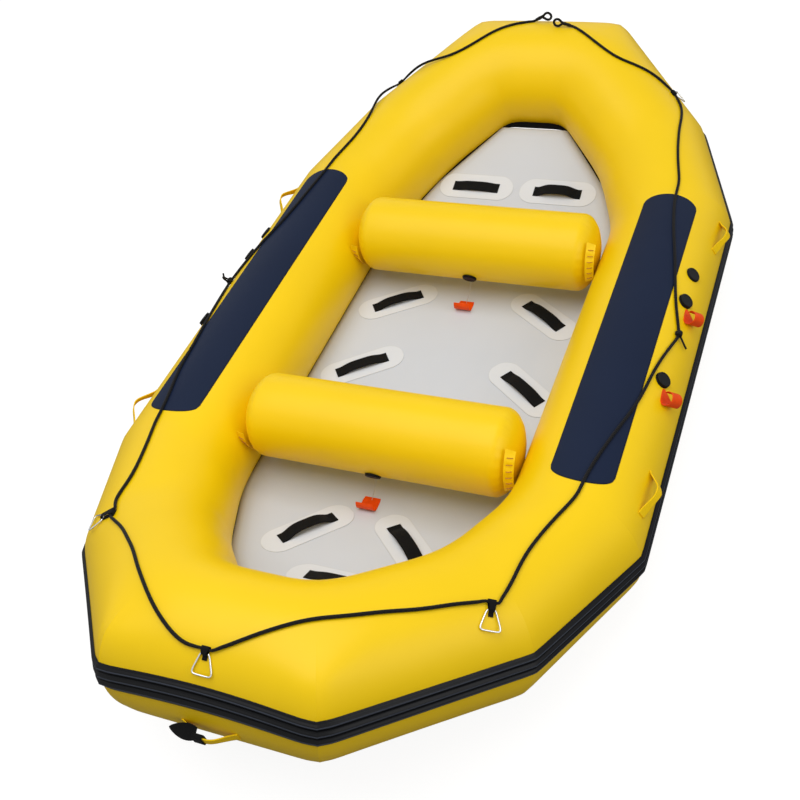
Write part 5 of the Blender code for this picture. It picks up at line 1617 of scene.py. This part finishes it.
class RAFT_OT_thwarts(bpy.types.Operator):
    """Builds the two seat tubes"""
    bl_idname = "raft.thwarts"
    bl_label = "Thwarts"

    def execute(self, context):
        for end, y in THWART_PLACES:
            thwart_tube(end, y)
            end_flap(end, y, 1)
            end_flap(end, y, -1)
        return {"FINISHED"}


class RAFT_OT_foot_straps(bpy.types.Operator):
    """Builds the foot straps and their patches"""
    bl_idname = "raft.foot_straps"
    bl_label = "Foot straps"

    def execute(self, context):
        sizes = context.scene.raft_sizes
        for name, across, along, heading, height in FOOT_STRAPS:
            strap_patch(name, across, along, heading, sizes.patch_length, sizes.patch_width)
            foot_strap(name, across, along, heading, height, sizes.strap_width)
        return {"FINISHED"}


class RAFT_OT_valves(bpy.types.Operator):
    """Builds the valves in the side tubes and the thwarts"""
    bl_idname = "raft.valves"
    bl_label = "Valves"

    def execute(self, context):
        for side, index in (("port", PORT_SIDE), ("starboard", STARBOARD_SIDE)):
            for kind, y in VALVE_PLACES:
                spot = tube_frame(index, side_share(index, y), VALVE_ANGLE, FLANGE_RADIUS)
                place = f"{kind}_{side}"
                if kind == "relief":
                    valve_flange("flange_" + place, spot)
                    valve_cap("cover_" + place, spot, "relief_valve_" + side, "raft", fluted=False)
                else:
                    valve_flange("flange_" + place, spot, "valve_body_" + place)
                    valve_cap("fluted_cap_" + place, spot, "valve_cap_" + place, f"valve_cap_{place}_body")
        for end, y in THWART_PLACES:
            spot = thwart_valve_frame(y)
            valve_flange("flange_thwart_" + end, spot)
            valve_cap("cover_thwart_" + end, spot, "thwart_valve_" + end, "raft", fluted=False)
        return {"FINISHED"}


class RAFT_OT_tags(bpy.types.Operator):
    """Builds the orange vinyl tags"""
    bl_idname = "raft.tags"
    bl_label = "Tags"

    def execute(self, context):
        for kind, y in VALVE_PLACES[1:]:
            name = f"valve_tag_{kind}_port"
            side_tag(name, PORT_SIDE, y, name + "_body")
        for end, y in THWART_PLACES:
            thwart_tag(end, y)
        return {"FINISHED"}


class RAFT_OT_grab_line(bpy.types.Operator):
    """Builds the grab line and its knots"""
    bl_idname = "raft.grab_line"
    bl_label = "Grab line"

    def execute(self, context):
        grab_line()
        for side in ("port", "starboard"):
            side_knot(side)
        return {"FINISHED"}


class RAFT_OT_rings(bpy.types.Operator):
    """Builds the lashing rings and their keepers"""
    bl_idname = "raft.rings"
    bl_label = "Lashing rings"

    def execute(self, context):
        places = [("bow", END_KEEPER, False)]
        for side, starboard in (("port", False), ("starboard", True)):
            stern, bow, _ = side_keepers(starboard)
            places += [("bow_" + side, bow, starboard), ("stern_" + side, stern, starboard)]
        for name, keeper, starboard in places:
            spot = keeper_frame(keeper, starboard)
            ring_keeper(name, spot, keeper[3])
            lashing_ring("ring_" + name, spot, keeper)
        return {"FINISHED"}


class RAFT_OT_handles(bpy.types.Operator):
    """Builds the carry handles and the pull tab"""
    bl_idname = "raft.handles"
    bl_label = "Handles"

    def execute(self, context):
        for side, index in (("port", PORT_SIDE), ("starboard", STARBOARD_SIDE)):
            for end, y in HANDLE_PLACES:
                spot = tube_frame(index, side_share(index, y), HANDLE_ANGLE, HANDLE_WIDTH / 2)
                carry_handle(f"handle_{end}_{side}", spot)
        spot = tube_frame(BOW_END, 0.5, BOW_HANDLE_ANGLE, HANDLE_WIDTH / 2)
        carry_handle("handle_bow", spot, HANDLE_HEIGHT - BOW_HANDLE_SAG)
        pull_tab(spot)
        return {"FINISHED"}


BUILD_ORDER = (
    RAFT_OT_stage, RAFT_OT_materials, RAFT_OT_hull, RAFT_OT_strake, RAFT_OT_wear_patches, RAFT_OT_floor,
    RAFT_OT_thwarts, RAFT_OT_foot_straps, RAFT_OT_valves, RAFT_OT_tags, RAFT_OT_grab_line, RAFT_OT_rings,
    RAFT_OT_handles,
)


class RAFT_PT_panel(bpy.types.Panel):
    """Lists the raft's pieces"""
    bl_label = "Raft"
    bl_space_type = "VIEW_3D"
    bl_region_type = "UI"
    bl_category = "Raft"

    def draw(self, context):
        for kind in BUILD_ORDER:
            self.layout.operator(kind.bl_idname)


CLASSES = (RaftSizes, RaftColours, *BUILD_ORDER, RAFT_PT_panel)


def register():
    for kind in CLASSES:
        bpy.utils.register_class(kind)
    bpy.types.Scene.raft_sizes = bpy.props.PointerProperty(type=RaftSizes)
    bpy.types.Scene.raft_colours = bpy.props.PointerProperty(type=RaftColours)


def unregister():
    del bpy.types.Scene.raft_colours
    del bpy.types.Scene.raft_sizes
    for kind in reversed(CLASSES):
        bpy.utils.unregister_class(kind)


def main():
    register()
    bpy.ops.raft.stage()
    bpy.ops.raft.materials()
    bpy.ops.raft.hull()
    bpy.ops.raft.strake()
    bpy.ops.raft.wear_patches()
    bpy.ops.raft.floor()
    bpy.ops.raft.thwarts()
    bpy.ops.raft.foot_straps()
    bpy.ops.raft.valves()
    bpy.ops.raft.tags()
    bpy.ops.raft.grab_line()
    bpy.ops.raft.rings()
    bpy.ops.raft.handles()


if __name__ == "__main__":
    main()
